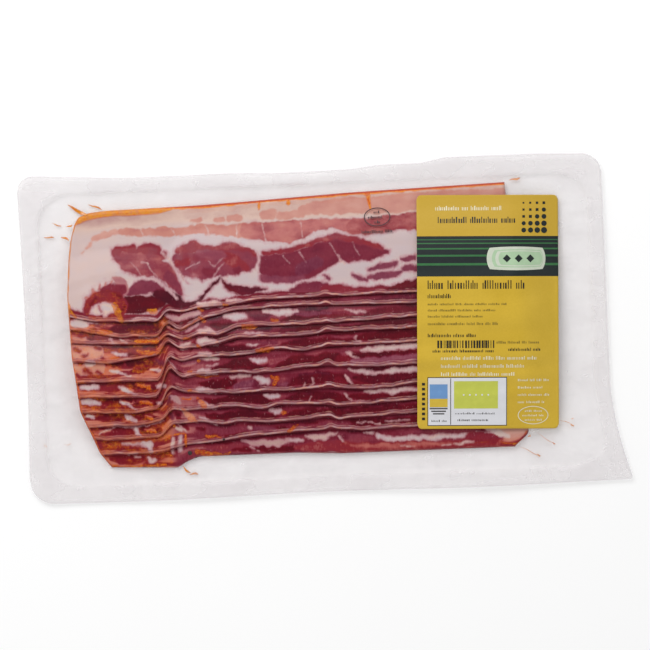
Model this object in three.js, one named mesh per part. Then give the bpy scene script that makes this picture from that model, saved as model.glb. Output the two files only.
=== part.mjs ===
import * as THREE from 'three';

// A flat vacuum pack of shingled bacon slices, lying with its label up.
// Millimetres. X runs along the pack, Y across it and Z up.

// Sealed outer edge: where its four sides run, the corner radii and the bow of the left side
const SHEET = { left: -124, right: 124, bottom: -68.6 };
const CORNER = { bottomLeft: 11, topLeft: 7, bottomRight: 1.5, topRight: 8 };
const LEFT_BOW = 1.4;
const TOP_EDGE = [[-125, 70.6], [-70, 68.2], [-34, 68.3], [-12, 67.5], [15, 67.8], [32, 69.2],
  [46, 69.2], [60, 71.2], [90, 71.1], [125, 70.2]];
const BOTTOM_WAVE = { height: 0.4, length: 140 };

// The lower right corner of the sheet is pulled out to a point
const FLARE = { start: -26, reach: 8.4, power: 1.7, fade: 34 };

// Formed pocket inside the sealed rim
const POCKET = { left: -115.5, right: 117.5, bottom: -61.5, top: 62, radius: 14, edge: 2.6 };
const RIM_TOP = 2.1;
const RIM_THICKNESS = 0.6;
const RIM_WAVE = 0.45;
const SKIRT_TOP = 1.1;
const FLOOR_INSET = 10.5;

// Slices, listed from the lowest to the top one: each laps over the one below it
const SLICE_WIDTH = 43.5;
const SLICE_THICKNESS = 1.8;
const STEP_WIDTH = 1.5;
const HIDDEN_EDGE_WIDTH = 12;
const TOP_EDGE_WIDTH = 3;

// Lower edge of each slice, seen from above: left block, folded valley, right block
const EDGES = [
  [[-105, -53.5], [-82, -54.4], [-60, -55.4], [-57, -53.2], [-51.5, -51.1], [-10, -51.2], [8, -52.3],
    [90, -52.6]],
  [[-105, -49], [-67, -49], [-57, -46], [-41, -45], [-24, -43.3], [5, -42], [18, -43], [43, -42.3]],
  [[-105, -41], [-89, -42.8], [-67, -42.2], [-62, -37], [-50, -36.4], [-40, -38.3], [-33, -37], [-21, -38.1],
    [-8, -37.7], [3, -36.7], [8, -38], [43, -36.4]],
  [[-105, -37], [-77, -37], [-66, -35.3], [-62, -30.5], [-57, -31.5], [-34, -30.7], [-23, -32.5], [-16, -30.6],
    [4, -31.4], [8, -32.6], [43, -30.9]],
  [[-105, -30.5], [-77, -31.8], [-67, -30.1], [-62.5, -21], [-56, -23.8], [-34, -25.1], [4, -24.4],
    [22, -25.8], [43, -24]],
  [[-105, -24.3], [-67, -25.3], [-62.5, -12.5], [-57, -17.9], [-50, -16.6], [-37, -16.2], [-25, -17.1],
    [-5, -15.4], [4, -14.9], [19, -16.3], [43, -15.9]],
  [[-105, -18], [-66, -18.3], [-62.5, -8.1], [-57, -10.7], [-50, -9.3], [-31, -9.1], [-18, -7], [-5, -8.2],
    [6, -6.9], [43, -6.6]],
  [[-105, -9], [-86, -10.2], [-66, -7.5], [-63, -1.5], [-57, -5.6], [-41, -4], [-33, -1.8], [-5, -2],
    [6, -0.7], [43, -0.7]],
  [[-105, -1], [-83, -2.5], [-66, -2.8], [-63, 1.2], [-56, -1.8], [-49, 0.3], [-41, -0.6], [-33, 3], [-5, 2.7],
    [43, 4.2]],
  [[-105, 5], [-83, 0.6], [-66, 0.4], [-62.5, 6.3], [-57, 2.2], [-48.5, 6.5], [-33, 10.2], [-5, 10.7],
    [43, 9.8]],
  [[-105, 10.5], [-93, 7.5], [-66, 6.5], [-62, 11], [-57, 9.9], [-49, 11.5], [-36, 12.2], [-22, 13.9],
    [43, 14.5]],
];
const SLICES = EDGES.length;
const RIND_EDGE = [[-105, 50.5], [-97.4, 52.5], [-94.9, 53.9], [-86, 54.7], [-47, 55.3], [-29, 56],
  [16, 58], [89, 59.8]];

// How far the slices' hidden upper edges drop in the left block
const BACK_DROP = { x: -57, width: 14, drop: 6 };

// How much thinner the slices are in the valley near the left end
const VALLEY = { x: -57, width: 6.5, depth: 0.22 };

// Ends of the stack, seen from above; the left one as [y, x]
const LEFT_END = [[-56, -87], [-48, -93.2], [-42, -95.6], [-30, -100.7], [-16, -102.1], [-7, -103.3],
  [19, -104.1], [35, -103], [43, -101.9], [50.3, -99.7], [56, -95]];
const RIGHT_END = { top: 83, bottom: 89, cut: 7, cutFrom: -46, cutTo: -54 };
const LEFT_SLOPE = { out: 6, width: 7.5 };
const RIGHT_SLOPE = { in: 2, width: 25 };

// The stuck-on label and the gap under it
const LABEL = { x: 73.4, y: 5, width: 60, height: 99, turn: -2.2, radius: 2, thickness: 0.3 };
const LABEL_GAP = 0.32;
const LABEL_REACH = 1.6;

const smooth = (value) => {
  const t = Math.min(Math.max(value, 0), 1);
  return t * t * (3 - 2 * t);
};
const mix = (a, b, t) => a + (b - a) * t;
const bump = (value) => Math.exp(-value * value);

// Height of a smooth line through [x, y] points at x
function along(points, x) {
  const last = points.length - 1;
  if (x <= points[0][0]) return points[0][1];
  for (let i = 0; i < last; i++) {
    const [x0, y0] = points[i];
    const [x1, y1] = points[i + 1];
    if (x <= x1) return mix(y0, y1, smooth((x - x0) / (x1 - x0)));
  }
  return points[last][1];
}

// Height of a straight-sided line through [x, y] points at x, with its corners eased
const EASE = 1.2;
function eased(points, x) {
  const at = (value) => {
    const last = points.length - 2;
    let i = 0;
    while (i < last && points[i + 1][0] < value) i++;
    const [x0, y0] = points[i];
    const [x1, y1] = points[i + 1];
    return mix(y0, y1, Math.min(Math.max((value - x0) / (x1 - x0), 0), 1));
  };
  return (at(x - EASE) + at(x) + at(x + EASE)) / 3;
}

// Lower edge of slice k at x, and its upper edge, which runs along the rind
const sliceEdge = (k, x) => eased(EDGES[k], x);
function sliceBack(k, x) {
  const rind = eased(RIND_EDGE, x);
  if (k === SLICES - 1) return rind;
  const drop = BACK_DROP.drop * smooth((BACK_DROP.x - x) / BACK_DROP.width + 0.5);
  return rind - eased(RIND_EDGE, 0) + sliceEdge(k, 0) + SLICE_WIDTH - drop;
}

// Share of the stack's thickness left at x, y towards its two ends, with the film's slope outside them
function endShare(x, y) {
  const leftEnd = eased(LEFT_END, y);
  const rightCut = RIGHT_END.cut * smooth((RIGHT_END.cutFrom - y) / (RIGHT_END.cutFrom - RIGHT_END.cutTo));
  const rightEnd = mix(RIGHT_END.bottom, RIGHT_END.top, (y + 52) / 110) - rightCut;
  const left = smooth((x - leftEnd + LEFT_SLOPE.out) / LEFT_SLOPE.width);
  const right = 1 - smooth((x - rightEnd + RIGHT_SLOPE.in) / RIGHT_SLOPE.width);
  const thinner = mix(0.84, 1, smooth((x - leftEnd) / 20));
  return left * right * thinner;
}

// 1 under the stiff label, falling to 0 a little outside it
function underLabel(x, y) {
  const turn = THREE.MathUtils.degToRad(LABEL.turn);
  const u = Math.abs((x - LABEL.x) * Math.cos(turn) + (y - LABEL.y) * Math.sin(turn)) - LABEL.width / 2;
  const v = Math.abs((y - LABEL.y) * Math.cos(turn) - (x - LABEL.x) * Math.sin(turn)) - LABEL.height / 2;
  return 1 - smooth((Math.max(u, v) + 1) / 5);
}

// Height of the stacked slices over the pack's floor
function stackHeight(x, y) {
  const stepWidth = mix(STEP_WIDTH, 7, underLabel(x, y));
  let layers = 0;
  for (let k = 0; k < SLICES; k++) {
    const backWidth = k === SLICES - 1 ? TOP_EDGE_WIDTH : HIDDEN_EDGE_WIDTH;
    layers += smooth((y - sliceEdge(k, x)) / stepWidth + 0.4);
    layers -= smooth((y - sliceBack(k, x)) / backWidth + 0.5);
  }
  const valley = 1 - VALLEY.depth * bump((x - VALLEY.x) / VALLEY.width);
  return SLICE_THICKNESS * layers * valley * endShare(x, y);
}

// Distance outside the pocket's rounded outline, negative inside it
function outsidePocket(x, y) {
  const halfX = (POCKET.right - POCKET.left) / 2 - POCKET.radius;
  const halfY = (POCKET.top - POCKET.bottom) / 2 - POCKET.radius;
  const dx = Math.abs(x - (POCKET.right + POCKET.left) / 2) - halfX;
  const dy = Math.abs(y - (POCKET.top + POCKET.bottom) / 2) - halfY;
  const outer = Math.hypot(Math.max(dx, 0), Math.max(dy, 0));
  return outer + Math.min(Math.max(dx, dy), 0) - POCKET.radius;
}

// Height of the top film over the floor
function topHeight(x, y) {
  const wave = RIM_WAVE * (Math.sin(x / 17 + y / 31) + 0.6 * Math.sin(x / 43 - y / 13 + 1));
  const rim = smooth(outsidePocket(x, y) / POCKET.edge + 0.5);
  return mix(SKIRT_TOP, RIM_TOP + wave, rim) + stackHeight(x, y);
}

// How far a rounded corner cuts in at a distance from the side
const cornerInset = (distance, radius) => (distance >= radius ? 0
  : radius - Math.sqrt(radius ** 2 - (radius - distance) ** 2));

// Positions from start to end with about the given spacing, without the first
function spaced(start, end, spacing) {
  const count = Math.max(1, Math.round((end - start) / spacing));
  return Array.from({ length: count }, (_, i) => mix(start, end, (i + 1) / count));
}

// Closed skin over a grid of columns and rows. Where band is given, only that many outer cells of the
// underside follow the grid, and one flat floor closes the rest.
function closedSkin(columns, rows, point, band) {
  const positions = [];
  const faces = [];
  const upper = [];
  const lower = [];
  const add = (x, y, z) => positions.push(x, y, z) / 3 - 1;
  const ring = (i, j) => Math.min(i, j, columns - 1 - i, rows - 1 - j);
  for (let i = 0; i < columns; i++) {
    upper.push([]);
    lower.push([]);
    for (let j = 0; j < rows; j++) {
      const { x, y, top, under } = point(i, j, ring(i, j));
      upper[i].push(add(x, y, top));
      lower[i].push(band && ring(i, j) > band ? -1 : add(x, y, under));
    }
  }
  const quad = (a, b, c, d) => faces.push(a, b, c, a, c, d);
  for (let i = 0; i < columns - 1; i++) {
    for (let j = 0; j < rows - 1; j++) {
      quad(upper[i][j], upper[i + 1][j], upper[i + 1][j + 1], upper[i][j + 1]);
      const inside = band && i >= band && j >= band && i < columns - 1 - band && j < rows - 1 - band;
      if (!inside) quad(lower[i][j], lower[i][j + 1], lower[i + 1][j + 1], lower[i + 1][j]);
    }
  }
  const border = outline(columns, rows, 0);
  border.forEach(([i, j], n) => {
    const [k, l] = border[(n + 1) % border.length];
    quad(lower[i][j], lower[k][l], upper[k][l], upper[i][j]);
  });
  if (band) {
    const loop = outline(columns, rows, band).map(([i, j]) => lower[i][j]);
    const flat = loop.map((v) => new THREE.Vector2(positions[3 * v], positions[3 * v + 1]));
    for (const [a, b, c] of THREE.ShapeUtils.triangulateShape(flat, [])) {
      faces.push(loop[a], loop[c], loop[b]);
    }
  }
  const geometry = new THREE.BufferGeometry();
  geometry.setAttribute('position', new THREE.Float32BufferAttribute(positions, 3));
  geometry.setIndex(faces);
  geometry.computeVertexNormals();
  return geometry;
}

// Grid indices round a rectangle of cells, counterclockwise from its lower left corner
function outline(columns, rows, inset) {
  const [right, top] = [columns - 1 - inset, rows - 1 - inset];
  const loop = [];
  for (let i = inset; i < right; i++) loop.push([i, inset]);
  for (let j = inset; j < top; j++) loop.push([right, j]);
  for (let i = right; i > inset; i--) loop.push([i, top]);
  for (let j = top; j > inset; j--) loop.push([inset, j]);
  return loop;
}

const bottomEdge = (x) => SHEET.bottom + BOTTOM_WAVE.height * Math.cos(x / BOTTOM_WAVE.length * 2 * Math.PI);

// Rows across the pack at x: rim, pocket edge, slices with a foot and a crest each, pocket edge, rim
function packRows(x) {
  const [low, high] = [bottomEdge(x), along(TOP_EDGE, x)];
  const rows = [low, low + 1.6, low + 4, low + 6.6, low + FLOOR_INSET - 1.2];
  for (let k = 0; k < SLICES; k++) {
    const edge = sliceEdge(k, x);
    rows.push(edge - 0.6, edge + 0.9);
    if (k < SLICES - 1) rows.push(mix(edge + 0.9, sliceEdge(k + 1, x) - 0.6, 0.5));
  }
  const crest = rows.at(-1);
  const back = sliceBack(SLICES - 1, x);
  rows.push(...[0.12, 0.26, 0.4, 0.54, 0.68, 0.8, 0.92, 1.02].map((t) => mix(crest, back, t)));
  rows.push(high - 6.2, high - 4, high - 1.8, high);
  return rows;
}

function packColumns() {
  const rim = [0, 1.4, 4, 7.5, FLOOR_INSET];
  const columns = rim.map((d) => SHEET.left + d);
  columns.push(...spaced(columns.at(-1), -96, 2.4), ...spaced(-96, -68, 4.6), ...spaced(-68, -48, 2));
  columns.push(...spaced(-48, 82, 5), ...spaced(82, SHEET.right - FLOOR_INSET, 4.2));
  columns.push(...rim.slice(0, -1).reverse().map((d) => SHEET.right - d));
  return columns;
}

function packGeometry() {
  const columns = packColumns();
  const count = packRows(0).length;
  return closedSkin(columns.length, count, (i, j, ring) => {
    const x = columns[i];
    const rows = packRows(x);
    const [fromLeft, fromRight] = [x - SHEET.left, SHEET.right - x];
    const lowInset = cornerInset(fromLeft, CORNER.bottomLeft) + cornerInset(fromRight, CORNER.bottomRight);
    const highInset = cornerInset(fromLeft, CORNER.topLeft) + cornerInset(fromRight, CORNER.topRight);
    const share = (rows[j] - rows[0]) / (rows.at(-1) - rows[0]);
    const y = mix(rows[0] + lowInset, rows.at(-1) - highInset, share);
    const top = topHeight(x, y);
    const bow = LEFT_BOW * Math.cos(y / 48) * (1 - smooth(fromLeft / 14));
    const pull = FLARE.reach * Math.max((FLARE.start - y) / (FLARE.start - SHEET.bottom), 0) ** FLARE.power;
    const flare = pull * (1 - smooth(fromRight / FLARE.fade));
    return { x: x + bow + flare, y, top, under: ring < 4 ? top - RIM_THICKNESS : 0 };
  }, 4);
}

// Highest point of the film near x, y, so that the label clears every step under it
function clearance(x, y) {
  let highest = 0;
  for (let a = -1; a <= 1; a += 0.5) {
    for (let b = -1; b <= 1; b += 0.5) {
      highest = Math.max(highest, topHeight(x + a * LABEL_REACH, y + b * LABEL_REACH));
    }
  }
  return highest + LABEL_GAP;
}

function labelGeometry() {
  const side = (length, spacing) => {
    const ends = [0, 0.5, LABEL.radius];
    const middle = spaced(LABEL.radius, length - LABEL.radius, spacing).slice(0, -1);
    return [...ends, ...middle, ...ends.map((d) => length - d).reverse()];
  };
  const columns = side(LABEL.width, 4);
  const rows = side(LABEL.height, 3.4);
  const turn = THREE.MathUtils.degToRad(LABEL.turn);
  return closedSkin(columns.length, rows.length, (i, j) => {
    const fromSide = Math.min(columns[i], LABEL.width - columns[i]);
    const inset = cornerInset(fromSide, LABEL.radius);
    const u = columns[i] - LABEL.width / 2;
    const v = mix(inset, LABEL.height - inset, rows[j] / LABEL.height) - LABEL.height / 2;
    const x = LABEL.x + u * Math.cos(turn) - v * Math.sin(turn);
    const y = LABEL.y + u * Math.sin(turn) + v * Math.cos(turn);
    const under = clearance(x, y);
    return { x, y, top: under + LABEL.thickness, under };
  });
}

function mesh(name, geometry, color, roughness) {
  const material = new THREE.MeshStandardMaterial({ color, roughness, metalness: 0 });
  const piece = new THREE.Mesh(geometry, material);
  piece.name = name;
  return piece;
}

const bag = mesh('pack', packGeometry(), '#a5525a', 0.3);
const label = mesh('label', labelGeometry(), '#d4b12e', 0.45);

// The frame's origin is the middle of the bounding box, on the floor
const group = new THREE.Group();
group.add(bag, label);
const middle = new THREE.Box3().setFromObject(group).getCenter(new THREE.Vector3());
group.position.set(-middle.x, -middle.y, 0);

export default group;
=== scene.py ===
import math

import bmesh
import bpy
import numpy as np
from bpy.props import FloatProperty, FloatVectorProperty, PointerProperty
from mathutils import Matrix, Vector


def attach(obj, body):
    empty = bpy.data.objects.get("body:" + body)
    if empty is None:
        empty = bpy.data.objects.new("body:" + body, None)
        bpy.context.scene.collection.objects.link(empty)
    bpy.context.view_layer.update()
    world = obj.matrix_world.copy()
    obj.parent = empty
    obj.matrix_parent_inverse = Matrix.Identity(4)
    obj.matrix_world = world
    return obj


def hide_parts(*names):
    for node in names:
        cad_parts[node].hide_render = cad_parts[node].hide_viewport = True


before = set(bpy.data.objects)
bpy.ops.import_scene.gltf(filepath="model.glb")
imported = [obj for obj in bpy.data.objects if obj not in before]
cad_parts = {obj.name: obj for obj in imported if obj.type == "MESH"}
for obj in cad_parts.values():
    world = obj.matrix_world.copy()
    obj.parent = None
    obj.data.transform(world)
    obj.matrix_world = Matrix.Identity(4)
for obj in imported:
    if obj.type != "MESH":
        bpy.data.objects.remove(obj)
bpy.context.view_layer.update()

bl_info = {
    "name": "Bacon pack",
    "version": (1, 0, 0),
    "blender": (4, 5, 0),
    "location": "3D View > Sidebar > Bacon pack",
    "description": "Dresses the packed frame as a vacuum pack of sliced bacon",
    "category": "Object",
}

# Sizes are in millimetres, X along the pack and Y across it, as in the part's source.
MM = 0.001

# Sealed sheet
SHEET_LEFT, SHEET_RIGHT, SHEET_BOTTOM = -124.0, 124.0, -68.6
CORNER_BOTTOM_LEFT, CORNER_TOP_LEFT, CORNER_BOTTOM_RIGHT, CORNER_TOP_RIGHT = 11.0, 7.0, 1.5, 8.0
LEFT_BOW, LEFT_BOW_LENGTH, LEFT_BOW_FADE = 1.4, 48.0, 14.0
TOP_EDGE = ((-125, 70.6), (-70, 68.2), (-34, 68.3), (-12, 67.5), (15, 67.8), (32, 69.2), (46, 69.2),
            (60, 71.2), (90, 71.1), (125, 70.2))
BOTTOM_WAVE, BOTTOM_WAVE_LENGTH = 0.4, 140.0
FLARE_START, FLARE_REACH, FLARE_POWER, FLARE_FADE = -26.0, 8.4, 1.7, 34.0

# Formed pocket and sealed rim
POCKET_LEFT, POCKET_RIGHT, POCKET_BOTTOM, POCKET_TOP = -115.5, 117.5, -61.5, 62.0
POCKET_RADIUS, POCKET_EDGE = 14.0, 2.6
RIM_TOP, RIM_THICKNESS, RIM_WAVE, SKIRT_TOP = 2.1, 0.6, 0.45, 1.1
# Lengths of the rim's two crossing waves along X and Y
RIM_WAVE_X, RIM_WAVE_Y, CROSS_WAVE_X, CROSS_WAVE_Y = 17.0, 31.0, 43.0, 13.0

# Slices from the lowest to the top one
SLICE_WIDTH, SLICE_THICKNESS = 43.5, 1.8
STEP_WIDTH, LABEL_STEP_WIDTH, HIDDEN_EDGE_WIDTH, TOP_EDGE_WIDTH = 1.5, 7.0, 12.0, 3.0
# Height of the lowest slice's underside, and how much thinner the slices are at the left end
STACK_BOTTOM, THIN_END, THIN_END_LENGTH = 0.75, 0.84, 20.0
# Lower edge of each slice as (x, y) points: left block, folded valley, right block
EDGES = (
    ((-105, -53.5), (-82, -54.4), (-60, -55.4), (-57, -53.2), (-51.5, -51.1), (-10, -51.2), (8, -52.3),
     (90, -52.6)),
    ((-105, -49), (-67, -49), (-57, -46), (-41, -45), (-24, -43.3), (5, -42), (18, -43), (43, -42.3)),
    ((-105, -41), (-89, -42.8), (-67, -42.2), (-62, -37), (-50, -36.4), (-40, -38.3), (-33, -37),
     (-21, -38.1), (-8, -37.7), (3, -36.7), (8, -38), (43, -36.4)),
    ((-105, -37), (-77, -37), (-66, -35.3), (-62, -30.5), (-57, -31.5), (-34, -30.7), (-23, -32.5),
     (-16, -30.6), (4, -31.4), (8, -32.6), (43, -30.9)),
    ((-105, -30.5), (-77, -31.8), (-67, -30.1), (-62.5, -21), (-56, -23.8), (-34, -25.1), (4, -24.4),
     (22, -25.8), (43, -24)),
    ((-105, -24.3), (-67, -25.3), (-62.5, -12.5), (-57, -17.9), (-50, -16.6), (-37, -16.2), (-25, -17.1),
     (-5, -15.4), (4, -14.9), (19, -16.3), (43, -15.9)),
    ((-105, -18), (-66, -18.3), (-62.5, -8.1), (-57, -10.7), (-50, -9.3), (-31, -9.1), (-18, -7), (-5, -8.2),
     (6, -6.9), (43, -6.6)),
    ((-105, -9), (-86, -10.2), (-66, -7.5), (-63, -1.5), (-57, -5.6), (-41, -4), (-33, -1.8), (-5, -2),
     (6, -0.7), (43, -0.7)),
    ((-105, -1), (-83, -2.5), (-66, -2.8), (-63, 1.2), (-56, -1.8), (-49, 0.3), (-41, -0.6), (-33, 3),
     (-5, 2.7), (43, 4.2)),
    ((-105, 5), (-83, 0.6), (-66, 0.4), (-62.5, 6.3), (-57, 2.2), (-48.5, 6.5), (-33, 10.2), (-5, 10.7),
     (43, 9.8)),
    ((-105, 10.5), (-93, 7.5), (-66, 6.5), (-62, 11), (-57, 9.9), (-49, 11.5), (-36, 12.2), (-22, 13.9),
     (43, 14.5)),
)
SLICES = len(EDGES)
TOP_SLICE = SLICES - 1
RIND_EDGE = ((-105, 50.5), (-97.4, 52.5), (-94.9, 53.9), (-86, 54.7), (-47, 55.3), (-29, 56), (16, 58),
             (89, 59.8))
EASE = 1.2
BACK_DROP_X, BACK_DROP_WIDTH, BACK_DROP = -57.0, 14.0, 6.0
VALLEY_X, VALLEY_WIDTH, VALLEY_DEPTH = -57.0, 6.5, 0.22
# Left end of the stack as (y, x) points
LEFT_END = ((-56, -87), (-48, -93.2), (-42, -95.6), (-30, -100.7), (-16, -102.1), (-7, -103.3), (19, -104.1),
            (35, -103), (43, -101.9), (50.3, -99.7), (56, -95))
RIGHT_END_TOP, RIGHT_END_BOTTOM, RIGHT_END_FROM, RIGHT_END_HEIGHT = 83.0, 89.0, -52.0, 110.0
RIGHT_CUT, RIGHT_CUT_FROM, RIGHT_CUT_LENGTH = 7.0, -46.0, 8.0
LEFT_SLOPE_OUT, LEFT_SLOPE_WIDTH, RIGHT_SLOPE_IN, RIGHT_SLOPE_WIDTH = 6.0, 7.5, 2.0, 25.0

# Label
LABEL_X, LABEL_Y, LABEL_WIDTH, LABEL_HEIGHT = 73.4, 5.0, 60.0, 99.0
LABEL_TURN, LABEL_RADIUS, LABEL_THICKNESS, LABEL_GAP = math.radians(-2.2), 2.0, 0.3, 0.32
# How far round the label the steps of the slices are smoothed out
LABEL_REACH, LABEL_REACH_FADE = 1.0, 5.0

# Camera, as in the photograph: straight above, with the pack turned a little
PHOTO_SIDE_PX, MM_PER_PX = 650, 0.4237
PHOTO_TURN = math.radians(2.45)
VIEW_CENTRE = (4.34, 2.36)


def smooth(value):
    t = np.clip(value, 0.0, 1.0)
    return t * t * (3 - 2 * t)


def mix(a, b, t):
    return a + (b - a) * t


def bump(value):
    return np.exp(-value * value)


def along(points, x):
    """Height of a smooth line through (x, y) points."""
    xs, ys = np.array(points, float).T
    i = np.clip(np.searchsorted(xs, x) - 1, 0, len(xs) - 2)
    t = smooth((x - xs[i]) / (xs[i + 1] - xs[i]))
    return mix(ys[i], ys[i + 1], t)


def noise(x, y, seed):
    """Smooth noise from 0 to 1 with features about one unit wide."""
    grid = np.random.RandomState(seed).rand(64, 64)
    i, j = np.floor(x).astype(int), np.floor(y).astype(int)
    u, v = smooth(x - i), smooth(y - j)
    low = mix(grid[i % 64, j % 64], grid[(i + 1) % 64, j % 64], u)
    high = mix(grid[i % 64, (j + 1) % 64], grid[(i + 1) % 64, (j + 1) % 64], u)
    return mix(low, high, v)


def eased(points, x):
    """Height of a straight-sided line through (x, y) points, with its corners eased."""
    xs, ys = np.array(points, float).T
    return sum(np.interp(x + shift, xs, ys) for shift in (-EASE, 0, EASE)) / 3


def slice_edge(k, x):
    """Lower edge of slice k at x."""
    return eased(EDGES[k], x)


def slice_back(k, x):
    """Upper edge of slice k at x, which runs along the rind."""
    rind = eased(RIND_EDGE, x)
    if k == TOP_SLICE:
        return rind
    drop = BACK_DROP * smooth((BACK_DROP_X - x) / BACK_DROP_WIDTH + 0.5)
    return rind - eased(RIND_EDGE, 0.0) + slice_edge(k, 0.0) + SLICE_WIDTH - drop


def left_end(y):
    return eased(LEFT_END, y)


def right_end(y):
    cut = RIGHT_CUT * smooth((RIGHT_CUT_FROM - y) / RIGHT_CUT_LENGTH)
    return mix(RIGHT_END_BOTTOM, RIGHT_END_TOP, (y - RIGHT_END_FROM) / RIGHT_END_HEIGHT) - cut


def under_label(x, y):
    """1 under the label, 0 well away from it."""
    dx, dy = x - LABEL_X, y - LABEL_Y
    cos, sin = math.cos(LABEL_TURN), math.sin(LABEL_TURN)
    u = np.abs(dx * cos + dy * sin) - LABEL_WIDTH / 2
    v = np.abs(dy * cos - dx * sin) - LABEL_HEIGHT / 2
    return 1 - smooth((np.maximum(u, v) + LABEL_REACH) / LABEL_REACH_FADE)


def layers(x, y, count=SLICES):
    """How many of the lowest slices lie over x, y, with soft steps."""
    step_width = mix(STEP_WIDTH, LABEL_STEP_WIDTH, under_label(x, y))
    total = np.zeros_like(x)
    for k in range(count):
        back_width = TOP_EDGE_WIDTH if k == TOP_SLICE else HIDDEN_EDGE_WIDTH
        total += smooth((y - slice_edge(k, x)) / step_width + 0.4)
        total -= smooth((y - slice_back(k, x)) / back_width + 0.5)
    return total


def stack_scale(x, y):
    """Slice thickness at x, y: thinner in the valley and towards the left end."""
    valley = 1 - VALLEY_DEPTH * bump((x - VALLEY_X) / VALLEY_WIDTH)
    return SLICE_THICKNESS * valley * mix(THIN_END, 1.0, smooth((x - left_end(y)) / THIN_END_LENGTH))


def outside_pocket(x, y):
    """Millimetres outside the pocket's edge, negative inside it."""
    half_x = (POCKET_RIGHT - POCKET_LEFT) / 2 - POCKET_RADIUS
    half_y = (POCKET_TOP - POCKET_BOTTOM) / 2 - POCKET_RADIUS
    dx = np.abs(x - (POCKET_RIGHT + POCKET_LEFT) / 2) - half_x
    dy = np.abs(y - (POCKET_TOP + POCKET_BOTTOM) / 2) - half_y
    outer = np.hypot(np.maximum(dx, 0), np.maximum(dy, 0))
    return outer + np.minimum(np.maximum(dx, dy), 0) - POCKET_RADIUS


def rim_height(x, y):
    """Top of the film without any food under it."""
    cross_wave = 0.6 * np.sin(x / CROSS_WAVE_X - y / CROSS_WAVE_Y + 1)
    wave = RIM_WAVE * (np.sin(x / RIM_WAVE_X + y / RIM_WAVE_Y) + cross_wave)
    rim = smooth(outside_pocket(x, y) / POCKET_EDGE + 0.5)
    return mix(SKIRT_TOP, RIM_TOP + wave, rim)


def end_share(x, y):
    """How much of the stack's height the film keeps where it slopes down at the stack's ends."""
    left = smooth((x - left_end(y) + LEFT_SLOPE_OUT) / LEFT_SLOPE_WIDTH)
    right = 1 - smooth((x - right_end(y) + RIGHT_SLOPE_IN) / RIGHT_SLOPE_WIDTH)
    return left * right


def film_height(x, y):
    """Top of the film, the form of the part's solid."""
    return rim_height(x, y) + layers(x, y) * stack_scale(x, y) * end_share(x, y)


def slice_height(k, x, y):
    """Top of slice k, or of what it lies on for k - 1."""
    return STACK_BOTTOM + layers(x, y, k + 1) * stack_scale(x, y)


def corner_inset(distance, radius):
    """How far a rounded corner draws the edge in, at a distance from the end."""
    inside = np.clip(radius - distance, 0, radius)
    return radius - np.sqrt(radius**2 - inside**2)


def sheet_place(a, b):
    """Millimetres for shares a and b of the sheet, and x as pulled by its bow and its flared corner."""
    x = mix(SHEET_LEFT, SHEET_RIGHT, a)
    from_left, from_right = x - SHEET_LEFT, SHEET_RIGHT - x
    low = SHEET_BOTTOM + BOTTOM_WAVE * np.cos(x / BOTTOM_WAVE_LENGTH * 2 * math.pi)
    low += corner_inset(from_left, CORNER_BOTTOM_LEFT) + corner_inset(from_right, CORNER_BOTTOM_RIGHT)
    high = along(TOP_EDGE, x)
    high -= corner_inset(from_left, CORNER_TOP_LEFT) + corner_inset(from_right, CORNER_TOP_RIGHT)
    y = mix(low, high, b)
    bow = LEFT_BOW * np.cos(y / LEFT_BOW_LENGTH) * (1 - smooth(from_left / LEFT_BOW_FADE))
    pull = FLARE_REACH * np.maximum((FLARE_START - y) / (FLARE_START - SHEET_BOTTOM), 0) ** FLARE_POWER
    return x, y, x + bow + pull * (1 - smooth(from_right / FLARE_FADE))


def sheet_middle():
    """Middle of the sheet's bounding box, which is the frame's origin."""
    side = np.linspace(0, 1, 1500)
    ends = np.zeros_like(side)
    _, _, left = sheet_place(ends, side)
    _, _, right = sheet_place(ends + 1, side)
    _, bottom, _ = sheet_place(side, ends)
    _, top, _ = sheet_place(side, ends + 1)
    return (left.min() + right.max()) / 2, (bottom.min() + top.max()) / 2


MIDDLE_X, MIDDLE_Y = sheet_middle()


def to_frame(x, y, z):
    """Points in the frame's metres for places in millimetres."""
    return np.stack([(x - MIDDLE_X) * MM, (y - MIDDLE_Y) * MM, z * MM], axis=-1)


# Mesh helpers


def grid_mesh(name, columns, rows, place, thick=True):
    """A grid of cells, given a second side if thick. place(a, b, side) gives its points in millimetres
    and a dictionary of values kept on them."""
    bm = bmesh.new()
    bmesh.ops.create_grid(bm, x_segments=columns, y_segments=rows, size=0.5)
    if thick:
        grown = bmesh.ops.extrude_face_region(bm, geom=bm.faces[:])["geom"]
        raised = [v for v in grown if isinstance(v, bmesh.types.BMVert)]
        bmesh.ops.translate(bm, verts=raised, vec=(0, 0, 1))
        bmesh.ops.recalc_face_normals(bm, faces=bm.faces[:])
    mesh = finished_mesh(bm, name)
    shape_mesh(mesh, place)
    return mesh


def finished_mesh(bm, name, rounded=True):
    """Turns a bmesh into a mesh, shaded smoothly if it is rounded."""
    mesh = bpy.data.meshes.new(name)
    bm.to_mesh(mesh)
    bm.free()
    mesh.polygons.foreach_set("use_smooth", np.full(len(mesh.polygons), rounded))
    return mesh


def shape_mesh(mesh, place):
    """Moves a unit mesh to its place and writes its values as point attributes."""
    unit = np.empty(len(mesh.vertices) * 3)
    mesh.vertices.foreach_get("co", unit)
    a, b, side = unit.reshape(-1, 3).T
    low, high = a.min(), a.max()
    points, values = place((a - low) / (high - low), b - b.min(), side)
    mesh.vertices.foreach_set("co", points.ravel())
    for key, value in values.items():
        mesh.attributes.new(key, "FLOAT", "POINT").data.foreach_set("value", value.astype(np.float32))
    mesh.update()


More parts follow.
